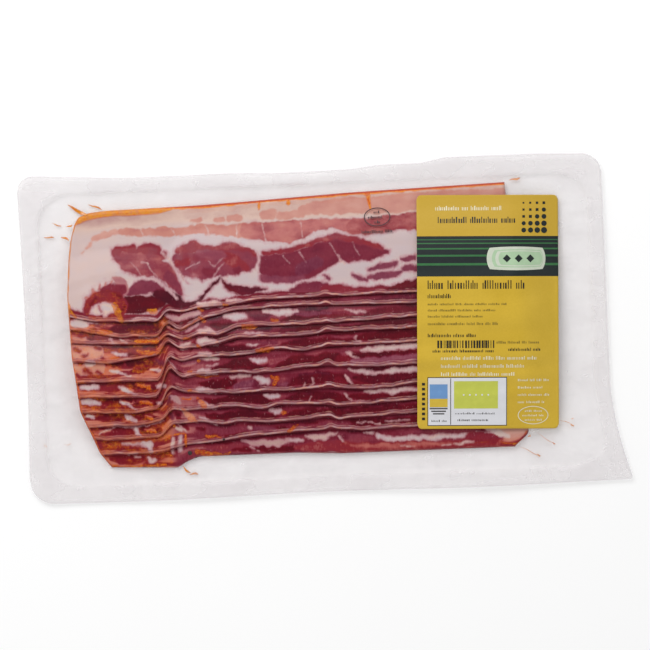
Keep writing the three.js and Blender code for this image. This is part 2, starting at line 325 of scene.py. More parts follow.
def add_piece(mesh, material, replaced=()):
    """Puts a finished mesh in the scene as a piece of the pack."""
    piece = bpy.data.objects.new(mesh.name, mesh)
    bpy.context.scene.collection.objects.link(piece)
    if not mesh.materials:
        mesh.materials.append(material)
    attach(piece, "root")
    if replaced:
        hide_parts(*replaced)
    return piece


# Shader helpers


def linear(colour):
    """Linear values of a colour given as it looks on a screen."""
    return tuple(c / 12.92 if c <= 0.04045 else ((c + 0.055) / 1.055) ** 2.4 for c in colour[:3]) + (1.0,)


class Value:
    """A value in a material, so that sums can be written with it. Each sum adds a node."""

    def __init__(self, tree, socket):
        self.tree, self.socket = tree, socket

    def __add__(self, other):
        return maths(self.tree, "ADD", self, other)

    def __sub__(self, other):
        return maths(self.tree, "SUBTRACT", self, other)

    def __rsub__(self, other):
        return maths(self.tree, "SUBTRACT", other, self)

    def __mul__(self, other):
        return maths(self.tree, "MULTIPLY", self, other)

    def __abs__(self):
        return maths(self.tree, "ABSOLUTE", self)

    def at_least(self, other):
        return maths(self.tree, "MAXIMUM", self, other)

    def at_most(self, other):
        return maths(self.tree, "MINIMUM", self, other)

    def swing(self, amount):
        """How far a noise is from its middle, times an amount."""
        return (self - 0.5) * amount

    def fade(self, low, high, start=0.0, end=1.0):
        """Smooth change from start to end as the value goes from low to high."""
        inputs = {"Value": self, "From Min": low, "From Max": high, "To Min": start, "To Max": end}
        node = add_node(self.tree, "ShaderNodeMapRange", inputs, interpolation_type="SMOOTHSTEP")
        return Value(self.tree, node.outputs[0])


def feed(tree, inputs, values):
    """Links values to a node's inputs, or sets the inputs to plain numbers and colours."""
    for key, value in values.items():
        source = value.socket if isinstance(value, Value) else value
        if isinstance(source, bpy.types.NodeSocket):
            tree.links.new(source, inputs[key])
        else:
            inputs[key].default_value = source


def add_node(tree, kind, inputs=None, **settings):
    node = tree.nodes.new(kind)
    for key, value in settings.items():
        setattr(node, key, value)
    feed(tree, node.inputs, inputs or {})
    return node


def maths(tree, operation, a, b=0.0):
    return Value(tree, add_node(tree, "ShaderNodeMath", {0: a, 1: b}, operation=operation).outputs[0])


def blend(factor, a, b, kind="MIX"):
    """Colour a where the factor is 0, b where it is 1."""
    node = add_node(factor.tree, "ShaderNodeMix", {0: factor, 6: a, 7: b}, data_type="RGBA", blend_type=kind)
    return node.outputs[2]


def blend_value(factor, a, b):
    """Value a where the factor is 0, b where it is 1."""
    node = add_node(factor.tree, "ShaderNodeMix", {0: factor, 2: a, 3: b}, data_type="FLOAT")
    return Value(factor.tree, node.outputs[0])


def attribute(tree, name):
    return Value(tree, add_node(tree, "ShaderNodeAttribute", attribute_name=name).outputs["Fac"])


def object_axes(tree):
    """X, Y and Z over a piece, in metres."""
    place = add_node(tree, "ShaderNodeTexCoord").outputs["Object"]
    return [Value(tree, socket) for socket in add_node(tree, "ShaderNodeSeparateXYZ", {0: place}).outputs]


def ramp(factor, stops):
    """Colour ramp through (position, colour) stops."""
    node = add_node(factor.tree, "ShaderNodeValToRGB", {0: factor})
    elements = node.color_ramp.elements
    while len(elements) < len(stops):
        elements.new(0.5)
    for element, (position, colour) in zip(elements, stops):
        element.position = position
        element.color = linear(colour)
    return node.outputs[0]


def new_group(name, inputs, outputs):
    """Empty node group with its input and output nodes."""
    tree = bpy.data.node_groups.new(name, "ShaderNodeTree")
    kinds = {"value": "NodeSocketFloat", "colour": "NodeSocketColor", "vector": "NodeSocketVector"}
    for socket_name, kind, default in inputs:
        socket = tree.interface.new_socket(socket_name, in_out="INPUT", socket_type=kinds[kind])
        socket.default_value = default
    for socket_name, kind in outputs:
        tree.interface.new_socket(socket_name, in_out="OUTPUT", socket_type=kinds[kind])
    return tree, tree.nodes.new("NodeGroupInput").outputs, tree.nodes.new("NodeGroupOutput").inputs


def use_group(tree, group, inputs):
    return add_node(tree, "ShaderNodeGroup", inputs, node_tree=group).outputs


def grain_group():
    """Noise over the surface in millimetres, stretched as asked."""
    name = "Surface grain"
    if name in bpy.data.node_groups:
        return bpy.data.node_groups[name]
    inputs = (("Size", "value", 1.0), ("Stretch", "vector", (1, 1, 1)), ("Detail", "value", 3.0))
    tree, given, result = new_group(name, inputs, (("Value", "value"),))
    place = add_node(tree, "ShaderNodeTexCoord").outputs["Object"]
    in_mm = add_node(tree, "ShaderNodeVectorMath", {0: place, "Scale": 1 / MM}, operation="SCALE").outputs[0]
    stretched = {0: in_mm, 1: given["Stretch"]}
    sized = add_node(tree, "ShaderNodeVectorMath", stretched, operation="DIVIDE").outputs[0]
    frequency = maths(tree, "DIVIDE", 1.0, given["Size"])
    settings = {"Vector": sized, "Scale": frequency, "Detail": given["Detail"]}
    tree.links.new(add_node(tree, "ShaderNodeTexNoise", settings).outputs["Fac"], result["Value"])
    return tree


def grain(tree, size, stretch=(1, 1, 1), detail=3.0):
    outputs = use_group(tree, grain_group(), {"Size": size, "Stretch": stretch, "Detail": detail})
    return Value(tree, outputs["Value"])


def new_material(name):
    material = bpy.data.materials.new(name)
    material.use_nodes = True
    tree = material.node_tree
    return material, tree, tree.nodes["Principled BSDF"]


def bumped(height, distance, strength=1.0):
    """Normals of fine relief that is as deep as distance in millimetres."""
    values = {"Height": height, "Distance": distance * MM, "Strength": strength}
    return add_node(height.tree, "ShaderNodeBump", values).outputs[0]


# Bacon

# Tones of lean from pale (0) to dark (1), for red meat and for purple meat; the purple is partly the meat's
# own and partly a painted sheen
RED_TONES = (
    (0.0, (0.80, 0.60, 0.55)),
    (0.2, (0.75, 0.49, 0.44)),
    (0.32, (0.69, 0.38, 0.37)),
    (0.42, (0.54, 0.15, 0.19)),
    (0.52, (0.51, 0.13, 0.19)),
    (0.65, (0.48, 0.08, 0.15)),
    (0.8, (0.42, 0.02, 0.10)),
    (1.0, (0.33, 0.0, 0.07)),
)
PURPLE_TONES = (
    (0.0, (0.74, 0.59, 0.61)),
    (0.2, (0.66, 0.46, 0.50)),
    (0.32, (0.58, 0.36, 0.42)),
    (0.42, (0.54, 0.27, 0.34)),
    (0.52, (0.47, 0.20, 0.28)),
    (0.65, (0.42, 0.13, 0.22)),
    (0.8, (0.35, 0.07, 0.17)),
    (1.0, (0.25, 0.02, 0.11)),
)


# How close together the streaks lie for each millimetre: along the pack, across a cut edge, across the pack
STREAKS_ALONG, STREAKS_OVER_EDGE, STREAKS_ACROSS = 0.11, 1.7, 0.12


def edge_streaks(tree):
    """Noise drawn out along the cut edges, from the point value that tells how far the edge is."""
    x, y, _ = object_axes(tree)
    over_edge = attribute(tree, "low") * STREAKS_OVER_EDGE
    place = {0: x * (STREAKS_ALONG / MM), 1: over_edge, 2: y * (STREAKS_ACROSS / MM)}
    vector = add_node(tree, "ShaderNodeCombineXYZ", place).outputs[0]
    node = add_node(tree, "ShaderNodeTexNoise", {"Vector": vector, "Scale": 1.0, "Detail": 2.0})
    return Value(tree, node.outputs["Fac"])


class Meat:
    """Noises and masks that the colours of the meat share."""

    def __init__(self, tree):
        self.patches = grain(tree, 4.5, stretch=(1.5, 1.0, 1.0), detail=2.0)
        self.medium = grain(tree, 2.0, detail=3.0)
        self.fine = grain(tree, 0.7, detail=3.0)
        self.fibres = grain(tree, 1.0, stretch=(0.7, 2.0, 1.0), detail=4.0)
        self.streaks = edge_streaks(tree)
        self.tone = attribute(tree, "tone")
        self.stain = attribute(tree, "stain")
        self.edge_distance = attribute(tree, "low")
        gap = attribute(tree, "gap")
        self.shaded = (gap + self.medium.swing(1.0)).fade(0.1, 1.9, 1.0, 0.0)
        self.top_slice = gap.fade(15, 25)
        self.depth = attribute(tree, "lean") + (self.medium.swing(1.0) + self.fibres.swing(0.6))


def lean_colour(tree, look, meat):
    """Red to purple lean with fibres, streaks along the cut edge and pale flecks. The purple is partly a
    painted sheen.
    """
    fibres = meat.fibres.swing(0.36) * (1.0 - meat.top_slice * 0.6) * meat.tone.fade(0.35, 0.55, 0.25, 1.0)
    near_edge = meat.edge_distance.fade(1.2, 3.2, 1.0, 0.0)
    tone = meat.tone + (fibres + meat.patches.swing(0.3)) + meat.shaded * 0.3
    tone = tone + meat.streaks.swing(1.5) * near_edge
    # Purple patches: the meat's own purple and partly a painted sheen
    hue = attribute(tree, "hue") + meat.patches.swing(0.7)
    colour = blend(hue, ramp(tone, RED_TONES), ramp(tone, PURPLE_TONES))
    flecks = grain(tree, 1.0, stretch=(0.8, 1.7, 1.0), detail=2.0).fade(0.63, 0.76, 0.0, 0.4)
    flecks = flecks * meat.top_slice.fade(0, 1, 1.0, 0.35) * meat.tone.fade(0.35, 0.55, 0.3, 1.0)
    return blend(flecks, colour, linear(look.fleck))


def fat_colour(tree, look, meat):
    """White to mauve fat, darker where it meets dark lean."""
    pink = attribute(tree, "pink") + (meat.patches.swing(0.35) + meat.fine.swing(0.12)) + meat.shaded * 0.3
    colour = ramp(pink, ((0.0, look.fat), (0.5, look.pink_fat), (1.0, look.edge_fat)))
    border = (meat.depth + meat.fibres.swing(1.0)).fade(-1.5, 0.0, 0.0, 0.8) * meat.tone.fade(0.2, 0.5)
    return blend(border, colour, linear(look.fat_border))


def with_cut_edge(look, meat, colour):
    """Adds a slice's cut lower edge: a band, two pale lines of tissue with a painted highlight, and a wall
    painted dark as shade where it turns down.
    """
    distance = meat.edge_distance + (meat.medium.swing(1.0) + meat.patches.swing(0.8))
    band = distance.fade(look.edge_height * 0.7, look.edge_height * 1.1, 0.7, 0.0)
    band = band * meat.patches.fade(0.35, 0.6, 0.4, 1.0)
    colour = blend(band, colour, linear(look.edge_band))
    near_edge = meat.edge_distance + meat.medium.swing(0.35)
    # Pale lines at the edge's shoulder and at the band's top: pale tissue with a painted highlight
    line = abs(near_edge - 0.65).fade(0.22, 0.6, 1.0, 0.0)
    inner_line = abs(distance - look.edge_height).fade(0.1, 0.4, 0.75, 0.0)
    inner_line = inner_line * meat.patches.fade(0.38, 0.55, 0.0, 1.0)
    line = line.at_least(inner_line) * meat.patches.fade(0.3, 0.65, 0.95, 0.35)
    line_highlight_colour = blend(meat.medium.fade(0.4, 0.6), linear(look.edge_highlight_line), linear(look.edge_fat_highlight_line))
    colour = blend(line, colour, line_highlight_colour)
    # Painted shade on the wall where the edge turns down, weaker where the meat is oily
    wall = near_edge.fade(0.12, 0.45, 0.8, 0.0) * meat.stain.fade(0.0, 0.4, 1.0, 0.4)
    return blend(wall, colour, linear(look.edge_wall_shade))


def with_oil(look, meat, colour):
    """Adds paprika oil, which tints the meat where it is thin and covers it where it is thick."""
    colour = blend(meat.stain.fade(0.0, 0.6, 0.0, 0.6), colour, linear(look.tint), "MULTIPLY")
    thick = (meat.stain - 1.0).at_least(0.0)
    lightness = meat.top_slice * meat.stain.fade(0.5, 0.95) * 0.17 + 0.47
    richness = meat.fine.swing(0.8) + lightness - thick
    oil = ramp(richness, ((0.28, look.paprika_dark), (0.45, look.paprika), (0.62, look.paprika_light)))
    mottled = meat.stain + (meat.medium.swing(1.1) + meat.streaks.swing(0.5))
    return blend(mottled.fade(0.36, 1.2) * 0.9, colour, oil)


def bacon_material(look):
    """Moist meat with its fat, cut edges and oil."""
    material, tree, shader = new_material("bacon")
    meat = Meat(tree)
    lean = meat.depth.fade(-0.6, 0.5)
    colour = blend(lean, fat_colour(tree, look, meat), lean_colour(tree, look, meat))
    feed(tree, shader.inputs, {
        "Base Color": with_oil(look, meat, with_cut_edge(look, meat, colour)),
        "Roughness": meat.medium.fade(0.3, 0.7, 0.42, 0.58),
        "Specular IOR Level": 0.08,
        "Normal": bumped(meat.medium * 0.5 + lean * -0.35, 0.08, 0.35),
        "Coat Weight": 0.12,
        "Coat Roughness": 0.12,
    })
    return material


LEAN, FAT, STAIN = 0, 1, 2
# Where a crease runs across the slices
CREASE_X = 5.0
# Keeps the lines of the other slices' cut edges off the lowest slice
LOWEST_EDGE_RISE = 2.2
# The photograph's pixel at the pack's origin, and a pixel's millimetres along and across the turned pack
ORIGIN_PX, ORIGIN_PY, PX_ALONG, PX_ACROSS = 315, 331, 0.42331, 0.018113
# Strokes of the meat, read in the photograph: what it is, how dark or pink or strong, how purple,
# then the pixel and the half width in pixels of each point
STROKES = (
    # Top slice
    (LEAN, 0.06, 0, 83, 254, 0.9, 84.5, 252.5, 0.8),
    (LEAN, 0.06, 0, 86.5, 248.5, 1.3, 90, 244.5, 1.8),
    (LEAN, 0.06, 0, 93, 240, 2.4, 99, 236.5, 3, 107, 234, 3.2, 116, 232.8, 3),
    (LEAN, 0.06, 0, 122, 232.4, 2),
    (LEAN, 0.18, 0, 121, 232.4, 3, 130, 232.3, 4.2, 148, 232.5, 3.7, 165, 231.5, 4.8, 185, 231, 4.5, 200,
     229, 5.2, 225, 230, 5.5, 248, 231, 8),
    (LEAN, 0.32, 0, 248, 231, 8, 270, 231.5, 9.5, 288, 232, 11.5, 300, 230, 10, 312, 226, 6.5, 332, 223,
     4.8, 355, 227, 8),
    (LEAN, 0.38, 0, 355, 227, 8, 365, 227, 8.5, 380, 225, 8, 397, 222, 7.5, 417, 221, 9.5, 440, 219, 9,
     520, 216, 9),
    (LEAN, 0.1, 0, 191, 221, 1.5, 200, 220.5, 2),
    (LEAN, 0.1, 0, 214, 220, 2, 222, 219, 2.5),
    (LEAN, 0.1, 0, 229, 218, 3, 240, 218, 3.5),
    (LEAN, 0.1, 0, 264, 215, 4.5, 272, 214, 5),
    (LEAN, 0.1, 0, 280, 216, 4, 300, 214, 4),
    (LEAN, 0.1, 0, 303, 210, 5, 330, 207, 8, 350, 205, 8, 365, 206, 8),
    (LEAN, 0.1, 0, 375, 206, 9, 417, 201, 9, 440, 200, 9, 520, 197, 9),
    (LEAN, 0.46, 0, 118, 252.5, 6.5, 125, 252.5, 6, 132, 252, 6.5),
    (LEAN, 0.46, 0, 142.5, 251, 6, 150, 250, 6.8, 156, 251.5, 5.5),
    (LEAN, 0.46, 0, 163.5, 255, 3.5),
    (LEAN, 0.4, 0.3, 118, 259, 4, 128, 264, 8, 142, 266, 10.5, 155, 267, 9, 165, 271, 8.5, 173, 281, 6.5,
     180, 290, 3.5, 182.5, 295, 1.5),
    (LEAN, 0.52, 0.6, 168, 276, 5, 176, 285, 4.5, 181, 293, 2.5),
    (LEAN, 0.55, 0, 114, 259.5, 0.6, 160, 257.5, 0.6),
    (LEAN, 0.42, 0.05, 179, 251, 4, 187, 249, 6, 193, 247, 6, 200, 250, 4.5, 208, 250, 4.5, 215, 250.5,
     4.5, 225, 249, 5.5, 233, 248.5, 6, 240, 251, 5, 248, 253, 5, 254, 256, 4),
    (LEAN, 0.46, 0.5, 178, 259, 5, 184, 267, 7, 192, 270, 11, 205, 266, 13, 218, 264, 12, 232, 263, 12,
     245, 262, 10, 254, 262, 6),
    (LEAN, 0.46, 0.5, 190, 279, 4, 199, 278, 4),
    (LEAN, 0.45, 0.3, 184, 256, 4, 196, 257, 4),
    (LEAN, 0.38, 0.15, 124, 256, 4, 164, 257, 3),
    (LEAN, 0.45, 0, 178, 263, 3, 186, 262, 4),
    (LEAN, 0.45, 0, 226, 257, 5, 236, 262, 6, 246, 268, 4),
    (LEAN, 0.4, 0.6, 200, 254, 4, 210, 255, 5, 222, 256, 4),
    (LEAN, 0.4, 0.6, 186, 276, 4, 195, 277, 3.5),
    (LEAN, 0.62, 0.4, 206, 272, 4, 214, 272.5, 4),
    (LEAN, 0.62, 0.4, 237, 271, 4),
    (FAT, 0.4, 0, 161, 252, 0.6, 170, 260, 0.8, 178, 270, 0.7, 184.5, 281, 0.9),
    (LEAN, 0.62, 0.55, 263, 262, 5, 268, 266, 11, 285, 267, 14, 305, 264, 15, 320, 257, 14, 335, 249, 12,
     352, 250, 12, 368, 252, 8, 380, 252, 5, 388, 252, 1.5),
    (LEAN, 0.44, 0.05, 264, 253.5, 2.2, 285, 252, 2.2, 302, 247, 2.5, 320, 240, 2.5, 334, 236.5, 3, 350,
     239, 3.5, 368, 244, 3, 382, 248.5, 2.5),
    (LEAN, 0.6, 1, 318, 262, 6, 300, 270, 6),
    (LEAN, 0.5, 0.9, 262, 278, 3, 275, 279, 3.5, 290, 279.5, 3.5, 302, 278, 2.5),
    (FAT, 0.15, 0, 258.5, 250, 1.5, 259, 262, 1.8, 257, 272, 3, 250, 277, 3),
    (FAT, 0.5, 0, 337, 255, 0.8, 341, 262, 1.2, 345, 264, 1),
    (LEAN, 0.55, 0.7, 131, 293, 4, 140, 288, 7, 150, 285, 7, 160, 288, 6.5, 163, 292, 4),
    (LEAN, 0.25, 0.5, 115, 278, 2.5, 122, 283, 5, 124, 291, 6, 118, 290, 4),
    (LEAN, 0.97, 0.1, 118, 302, 4, 128, 305, 8, 140, 305, 9, 152, 303, 8, 160, 303, 6),
    (LEAN, 0.98, 0.5, 158, 294, 4, 168, 297, 7, 180, 302, 6.5, 190, 303, 4.5, 197, 301, 3, 205, 294, 2,
     213, 285, 1.5, 220, 279, 1),
    (FAT, 0.1, 0, 186, 279, 2, 196, 284, 6, 200, 291, 5, 192, 297, 4.5, 186, 298, 4),
    (FAT, 0.15, 0, 118, 272, 3, 133, 278, 2.2, 145, 277, 2.2, 158, 280, 2, 170, 291, 2, 177, 298, 1.6),
    (LEAN, 0.85, 0.5, 222, 279, 0.8, 226, 286, 2, 234, 289, 3.5, 244, 291, 4.5, 252, 291, 3.5, 260, 290,
     2, 266, 289, 1),
    (LEAN, 0.9, 0, 222, 279, 0.8, 225, 285, 1.2, 231, 290, 1, 238, 294.5, 1),
    (LEAN, 0.6, 0.6, 291, 291, 2, 300, 289, 5, 312, 287, 5.5, 325, 287.5, 5.5),
    (LEAN, 0.6, 0.05, 325, 289, 5, 340, 290, 5, 355, 292, 4, 368, 294, 2.5),
    (LEAN, 0.92, 0, 383, 292, 2, 392, 290, 3.5, 405, 287, 5, 418, 285, 6, 440, 284, 6, 520, 281, 6),
    (LEAN, 0.9, 0.1, 265, 298, 0.8, 290, 296, 1.5, 320, 295, 1.8, 345, 296.5, 1.2),
    (LEAN, 0.5, 0.9, 369, 270, 1.2, 378, 267, 2.5, 388, 265.5, 3, 396, 263.5, 2),
    (LEAN, 0.5, 0.9, 369, 277.5, 2, 378, 276, 3.5, 388, 275, 3.5, 398, 273, 2.5, 401, 271, 1.5),
    (LEAN, 0.5, 0.9, 401, 259, 1.5, 408, 259, 3, 413, 258, 2.5),
    (LEAN, 0.5, 0.9, 352, 275, 1.2, 360, 278, 2.2, 367, 280.5, 1.5),
    (LEAN, 0.5, 0.9, 324, 276, 1, 330, 279.5, 1.2),
    (LEAN, 0.5, 0.9, 404, 268.5, 2.5, 417, 269, 3),
    (LEAN, 0.3, 0.1, 100, 290, 2, 101, 285, 0.7),
    (LEAN, 0.3, 0.1, 105, 289, 2, 107, 282, 0.7),
    (LEAN, 0.3, 0.1, 110.5, 288, 2, 113, 281, 0.8),
    (LEAN, 0.3, 0.1, 95, 294, 2, 94, 289, 0.7),
    (LEAN, 0.3, 0.1, 89, 300, 2, 86, 298, 0.6),
    (LEAN, 0.5, 0.1, 87, 312, 3, 90, 304, 4.5, 97, 298, 5, 108, 295, 6, 118, 297, 6, 123, 306, 6, 119,
     316, 5, 104, 321, 3, 92, 317, 3),
    (LEAN, 0.8, 0.1, 92, 305, 1.5, 97, 299, 1.5),
    (LEAN, 0.8, 0.1, 113, 293, 1.5, 121, 297, 2),
    (LEAN, 0.8, 0.1, 121, 312, 2, 126, 306, 1.5),
    (LEAN, 0.62, 0.3, 104, 291, 3, 112, 288, 4, 122, 290, 5),
    (STAIN, 0.42, 0, 88, 312, 3, 90, 303, 4, 97, 297, 5, 108, 296, 6, 118, 298, 6, 122, 308, 6, 118, 316,
     5, 104, 320, 3, 92, 317, 3),
    (FAT, 0.45, 0, 98, 311, 3, 103, 308, 4.5, 108.5, 309, 4.5, 106, 315, 3),
    (FAT, 0.1, 0, 100, 311, 1.5, 104, 307.5, 2.5, 108, 309, 2.5),
    (LEAN, 0.4, 0.1, 99, 305.5, 0.8, 102, 312, 0.5),
    (STAIN, 0.8, 0, 66.8, 303, 1.5, 68.5, 308, 2.5, 73, 314, 2, 76, 317.5, 1.5),
    (FAT, 0.5, 0, 130, 262, 0.3, 136, 268, 0.4, 142, 276, 0.3),
    (FAT, 0.5, 0, 146, 264, 0.3, 152, 270, 0.5, 157, 277, 0.3),
    (FAT, 0.5, 0, 171, 262, 0.3, 177, 274, 0.3),
    (FAT, 0.5, 0, 142, 262, 0.5, 148, 264, 0.6),
    (FAT, 0.5, 0, 208, 262, 0.5, 216, 266, 0.3, 222, 259, 0.3),
    (FAT, 0.5, 0, 186, 270, 0.3, 194, 264, 0.4, 200, 262, 0.3),
    (FAT, 0.5, 0, 214, 276, 0.3, 219, 270, 0.4, 224, 263, 0.3),
    (FAT, 0.5, 0, 224, 282, 0.3, 228, 275, 0.3),
    (FAT, 0.5, 0, 283, 256, 0.3, 290, 263, 0.3),
    (FAT, 0.5, 0, 300, 252, 0.3, 306, 262, 0.4),
    (FAT, 0.5, 0, 330, 243, 0.3, 336, 254, 0.3),
    (FAT, 0.5, 0, 352, 243, 0.3, 356, 250, 0.3, 360, 256, 0.3),
    (FAT, 0.5, 0, 140, 229, 0.3, 143, 236, 0.4),
    (FAT, 0.5, 0, 172, 228, 0.3, 176, 235, 0.4),
    (FAT, 0.5, 0, 206, 226, 0.4, 209, 235, 0.4),
    (FAT, 0.5, 0, 236, 226, 0.3, 238, 238, 0.4),
    (FAT, 0.5, 0, 262, 224, 0.4, 265, 240, 0.3),
    (FAT, 0.5, 0, 301, 222, 0.3, 303, 238, 0.4),
    # Knobs beside the valley
    (FAT, 0.5, 0, 200, 304, 3, 208, 305, 4, 216, 303, 3.5, 222, 306, 2),
    (FAT, 0.5, 0, 228, 300.5, 2, 236, 300.5, 2.5, 242, 300, 1.5),
    (FAT, 0.5, 0, 200, 331, 3, 208, 330, 3, 216, 333, 1.5),
    (FAT, 0.3, 0, 201, 342, 4, 210, 341, 4, 217, 344, 2.5),
    (FAT, 0.3, 0, 201, 356, 4, 210, 356, 4, 217, 359, 2),
    (FAT, 0.15, 0, 200, 372, 3, 210, 371.5, 3.5, 218, 373.5, 1.5),
    (FAT, 0.15, 0, 199, 389, 3, 207, 389.5, 3.5, 216, 392, 2),
    (FAT, 0.15, 0, 200, 401.5, 2.5, 208, 405, 2.5, 216, 408, 1.8),
    (FAT, 0.15, 0, 200, 417.5, 1, 208, 420, 2, 217, 424, 1.5),
    (STAIN, 0.8, 0, 199, 309, 2, 204, 311, 1.5),
    (STAIN, 0.8, 0, 200, 318, 2, 204, 321, 2.5),
    (STAIN, 0.8, 0, 198, 346, 1.5, 201, 348, 1.5),
    (STAIN, 0.8, 0, 198, 360, 1.5, 199, 361, 1.5),
    (STAIN, 0.8, 0, 197, 376, 1.5, 208, 376.5, 1.2, 220, 376.3, 0.8),
    (STAIN, 0.8, 0, 197, 398, 1.5, 204, 405, 3),
    (STAIN, 0.8, 0, 224, 305, 1.5, 228, 305, 1.5),
    # Right strips
    (LEAN, 0.95, 0.3, 212, 325, 1.5, 219, 326, 4, 226, 326, 3.5, 234, 324, 1.2),
    (LEAN, 0.7, 0.7, 210, 318, 3, 216, 318, 4.5, 222, 316, 3),
    (FAT, 0.05, 0, 226, 316.5, 2.5, 235, 317, 4, 246, 317, 3),
    (LEAN, 0.75, 0.7, 248, 313, 1.2, 256, 317.5, 3, 262, 318.5, 3.5, 268, 316, 2, 272, 314, 0.8),
    (FAT, 0.1, 0, 264, 311, 2, 272, 311, 3, 280, 312.5, 4, 288, 312, 4, 297, 311.5, 2.5),
    (LEAN, 1, 0, 256, 308, 0.5, 272, 307.3, 0.5),
    (LEAN, 0.92, 0, 304, 304, 0.8, 315, 303.5, 2, 325, 302.5, 2.2, 332, 304, 2, 340, 305, 1.5, 351,
     304.5, 1),
    (LEAN, 0.7, 0.6, 345, 303, 1.2, 365, 301, 2, 385, 299, 2.8, 405, 297.5, 3, 418, 296.5, 3.2),
    (LEAN, 0.92, 0.1, 350, 305.3, 0.7, 385, 302, 0.8, 418, 300.5, 0.8),
    (LEAN, 0.9, 0.8, 299, 309.7, 1, 310, 309.5, 1.8, 325, 309, 1.5, 328, 308, 1),
    (LEAN, 0.55, 0.9, 296, 314.5, 2, 310, 314, 2.5, 330, 314, 2.5),
    (LEAN, 0.97, 0.2, 281, 321.5, 0.8, 290, 318.5, 3, 305, 318.8, 2.8, 320, 319, 2.5),
    (LEAN, 0.85, 0, 322, 318.5, 3, 340, 318, 3.5, 352, 318, 3, 365, 317.5, 2.5),
    (FAT, 0.3, 0, 345, 309.5, 1, 355, 311.5, 1.5, 365, 312.5, 1.5),
    (LEAN, 0.85, 0.3, 368, 315, 3.5, 380, 312.5, 4.5, 400, 311.5, 5, 418, 310.5, 5.5),
    (STAIN, 0.8, 0, 243, 327, 2, 248, 327.5, 3, 255, 327.5, 2.5),
    (STAIN, 0.8, 0, 272, 320.5, 2.5, 277, 320.5, 2.5),
    (LEAN, 0.97, 0.2, 208, 336.5, 1.2, 216, 338, 1.5, 222, 339.5, 3, 232, 338, 4, 240, 336.5, 3.5, 244,
     337.5, 1.2),
    (LEAN, 0.85, 0.7, 254, 330, 1, 262, 330.5, 2.2, 270, 329.5, 2, 272, 328.5, 1),
    (FAT, 0.1, 0, 246, 333, 1, 254, 333.5, 1.5, 262, 333.5, 1),
    (LEAN, 0.8, 0.5, 279, 331, 1.5, 286, 330.5, 4, 298, 331, 4.5),
    (LEAN, 0.95, 0, 300, 331, 4.5, 315, 331, 5, 325, 329.5, 5, 335, 330, 4.5, 345, 331, 3.5, 352, 331, 3),
    (LEAN, 0.92, 0.2, 345, 328, 2, 365, 325.5, 3, 385, 323.5, 4, 405, 322, 4.5, 418, 321.5, 4.5),
    (STAIN, 0.6, 0, 407, 327, 1, 413, 327, 1),
    (LEAN, 1, 0.3, 206, 346, 1, 213, 348, 3.5, 222, 351, 5, 232, 351, 6.5, 242, 350.5, 5.5, 250, 350.5,
     3, 256, 349.5, 1),
    (FAT, 0.1, 0, 247, 345, 1, 252, 345, 1.8, 258, 344.5, 1),
    (LEAN, 0.6, 0.7, 260, 342.5, 1.2, 268, 342, 2.2, 276, 342.5, 1.5),
    (STAIN, 0.8, 0, 258, 351, 2, 266, 350, 3, 272, 349, 2),
    (LEAN, 0.9, 0.15, 275, 347, 1, 282, 346.5, 3, 290, 345, 4, 302, 343.5, 5, 314, 343.5, 5),
    (LEAN, 0.9, 0.15, 320, 343, 4.5, 330, 342, 5, 340, 342.5, 4),
    (LEAN, 0.9, 0.15, 344, 342, 3, 352, 341.5, 3.5),
    (FAT, 0.4, 0, 356, 337, 1, 358, 340, 1.5, 361, 342, 1),
    (LEAN, 0.95, 0.1, 358, 338, 2, 372, 337, 4.5, 390, 336, 5, 405, 335.5, 5, 418, 335, 5),
    (LEAN, 1, 0.2, 211, 369, 0.8, 220, 368.5, 2.8, 229, 366.5, 4, 238, 364.5, 5.5, 247, 364.5, 5.5, 254,
     367, 3, 262, 367, 2, 267, 365.5, 1),
    (FAT, 0.7, 0, 208, 366, 1, 218, 364.5, 1.2),
    (FAT, 0, 0, 250, 358.5, 1.5, 258, 360.5, 3, 266, 359.5, 2.5),
    (LEAN, 0.92, 0.1, 277, 366.5, 1, 284, 364, 3, 293, 360.5, 4.5, 303, 359.5, 5, 314, 360, 4.5, 322,
     358.5, 4.5, 330, 356.5, 4.5, 338, 357.5, 4.5),
    (LEAN, 0.75, 0, 340, 358.5, 4, 348, 358.5, 3.5),
    (FAT, 0.4, 0, 347, 352, 1.5, 352, 355, 2, 358, 357.5, 1.5),
    (LEAN, 0.95, 0.1, 354, 354, 1.5, 362, 355.5, 3, 375, 355.5, 3.5, 390, 354, 3, 405, 352.5, 3, 418,
     351.5, 3),
    (LEAN, 0.4, 0.9, 352, 361, 3, 370, 361, 3.5, 390, 359.5, 3.5, 418, 356.5, 3.5),
    (FAT, 0.25, 0, 360, 350, 1.2, 368, 349.5, 2.8, 380, 348.5, 3.2, 392, 347.5, 3, 405, 346, 3, 418, 345,
     3.2),
    (FAT, 0.35, 0, 231, 377, 1, 240, 376, 2, 250, 375.5, 1.5),
    (LEAN, 0.97, 0.1, 200, 383, 1.5, 208, 384, 4, 218, 385, 5.5, 228, 383.5, 5, 234, 381, 2.5),
    (LEAN, 0.5, 1, 236, 386, 3, 244, 385, 4.5, 252, 385, 4.5),
    (LEAN, 0.75, 0.8, 256, 385, 3.5, 263, 386, 2.5, 268, 387, 1),
    (FAT, 0, 0, 255, 377.5, 2, 261, 379.5, 4, 267, 381, 3.5),
    (STAIN, 0.8, 0, 272, 377.5, 2, 277, 378.5, 3, 274, 384, 2.5),
    (LEAN, 0.45, 0.8, 279, 385, 1.5, 286, 384.5, 3, 290, 385.5, 2),
    (LEAN, 0.9, 0.15, 289, 385, 1, 296, 381.5, 4, 306, 379, 6.5, 318, 378.5, 7.5, 330, 379, 7.5, 340,
     380.5, 6.5, 347, 383, 4, 351, 385.5, 1.5),
    (LEAN, 0.8, 0.7, 300, 374.5, 1, 315, 372.5, 1.2, 330, 373.5, 1),
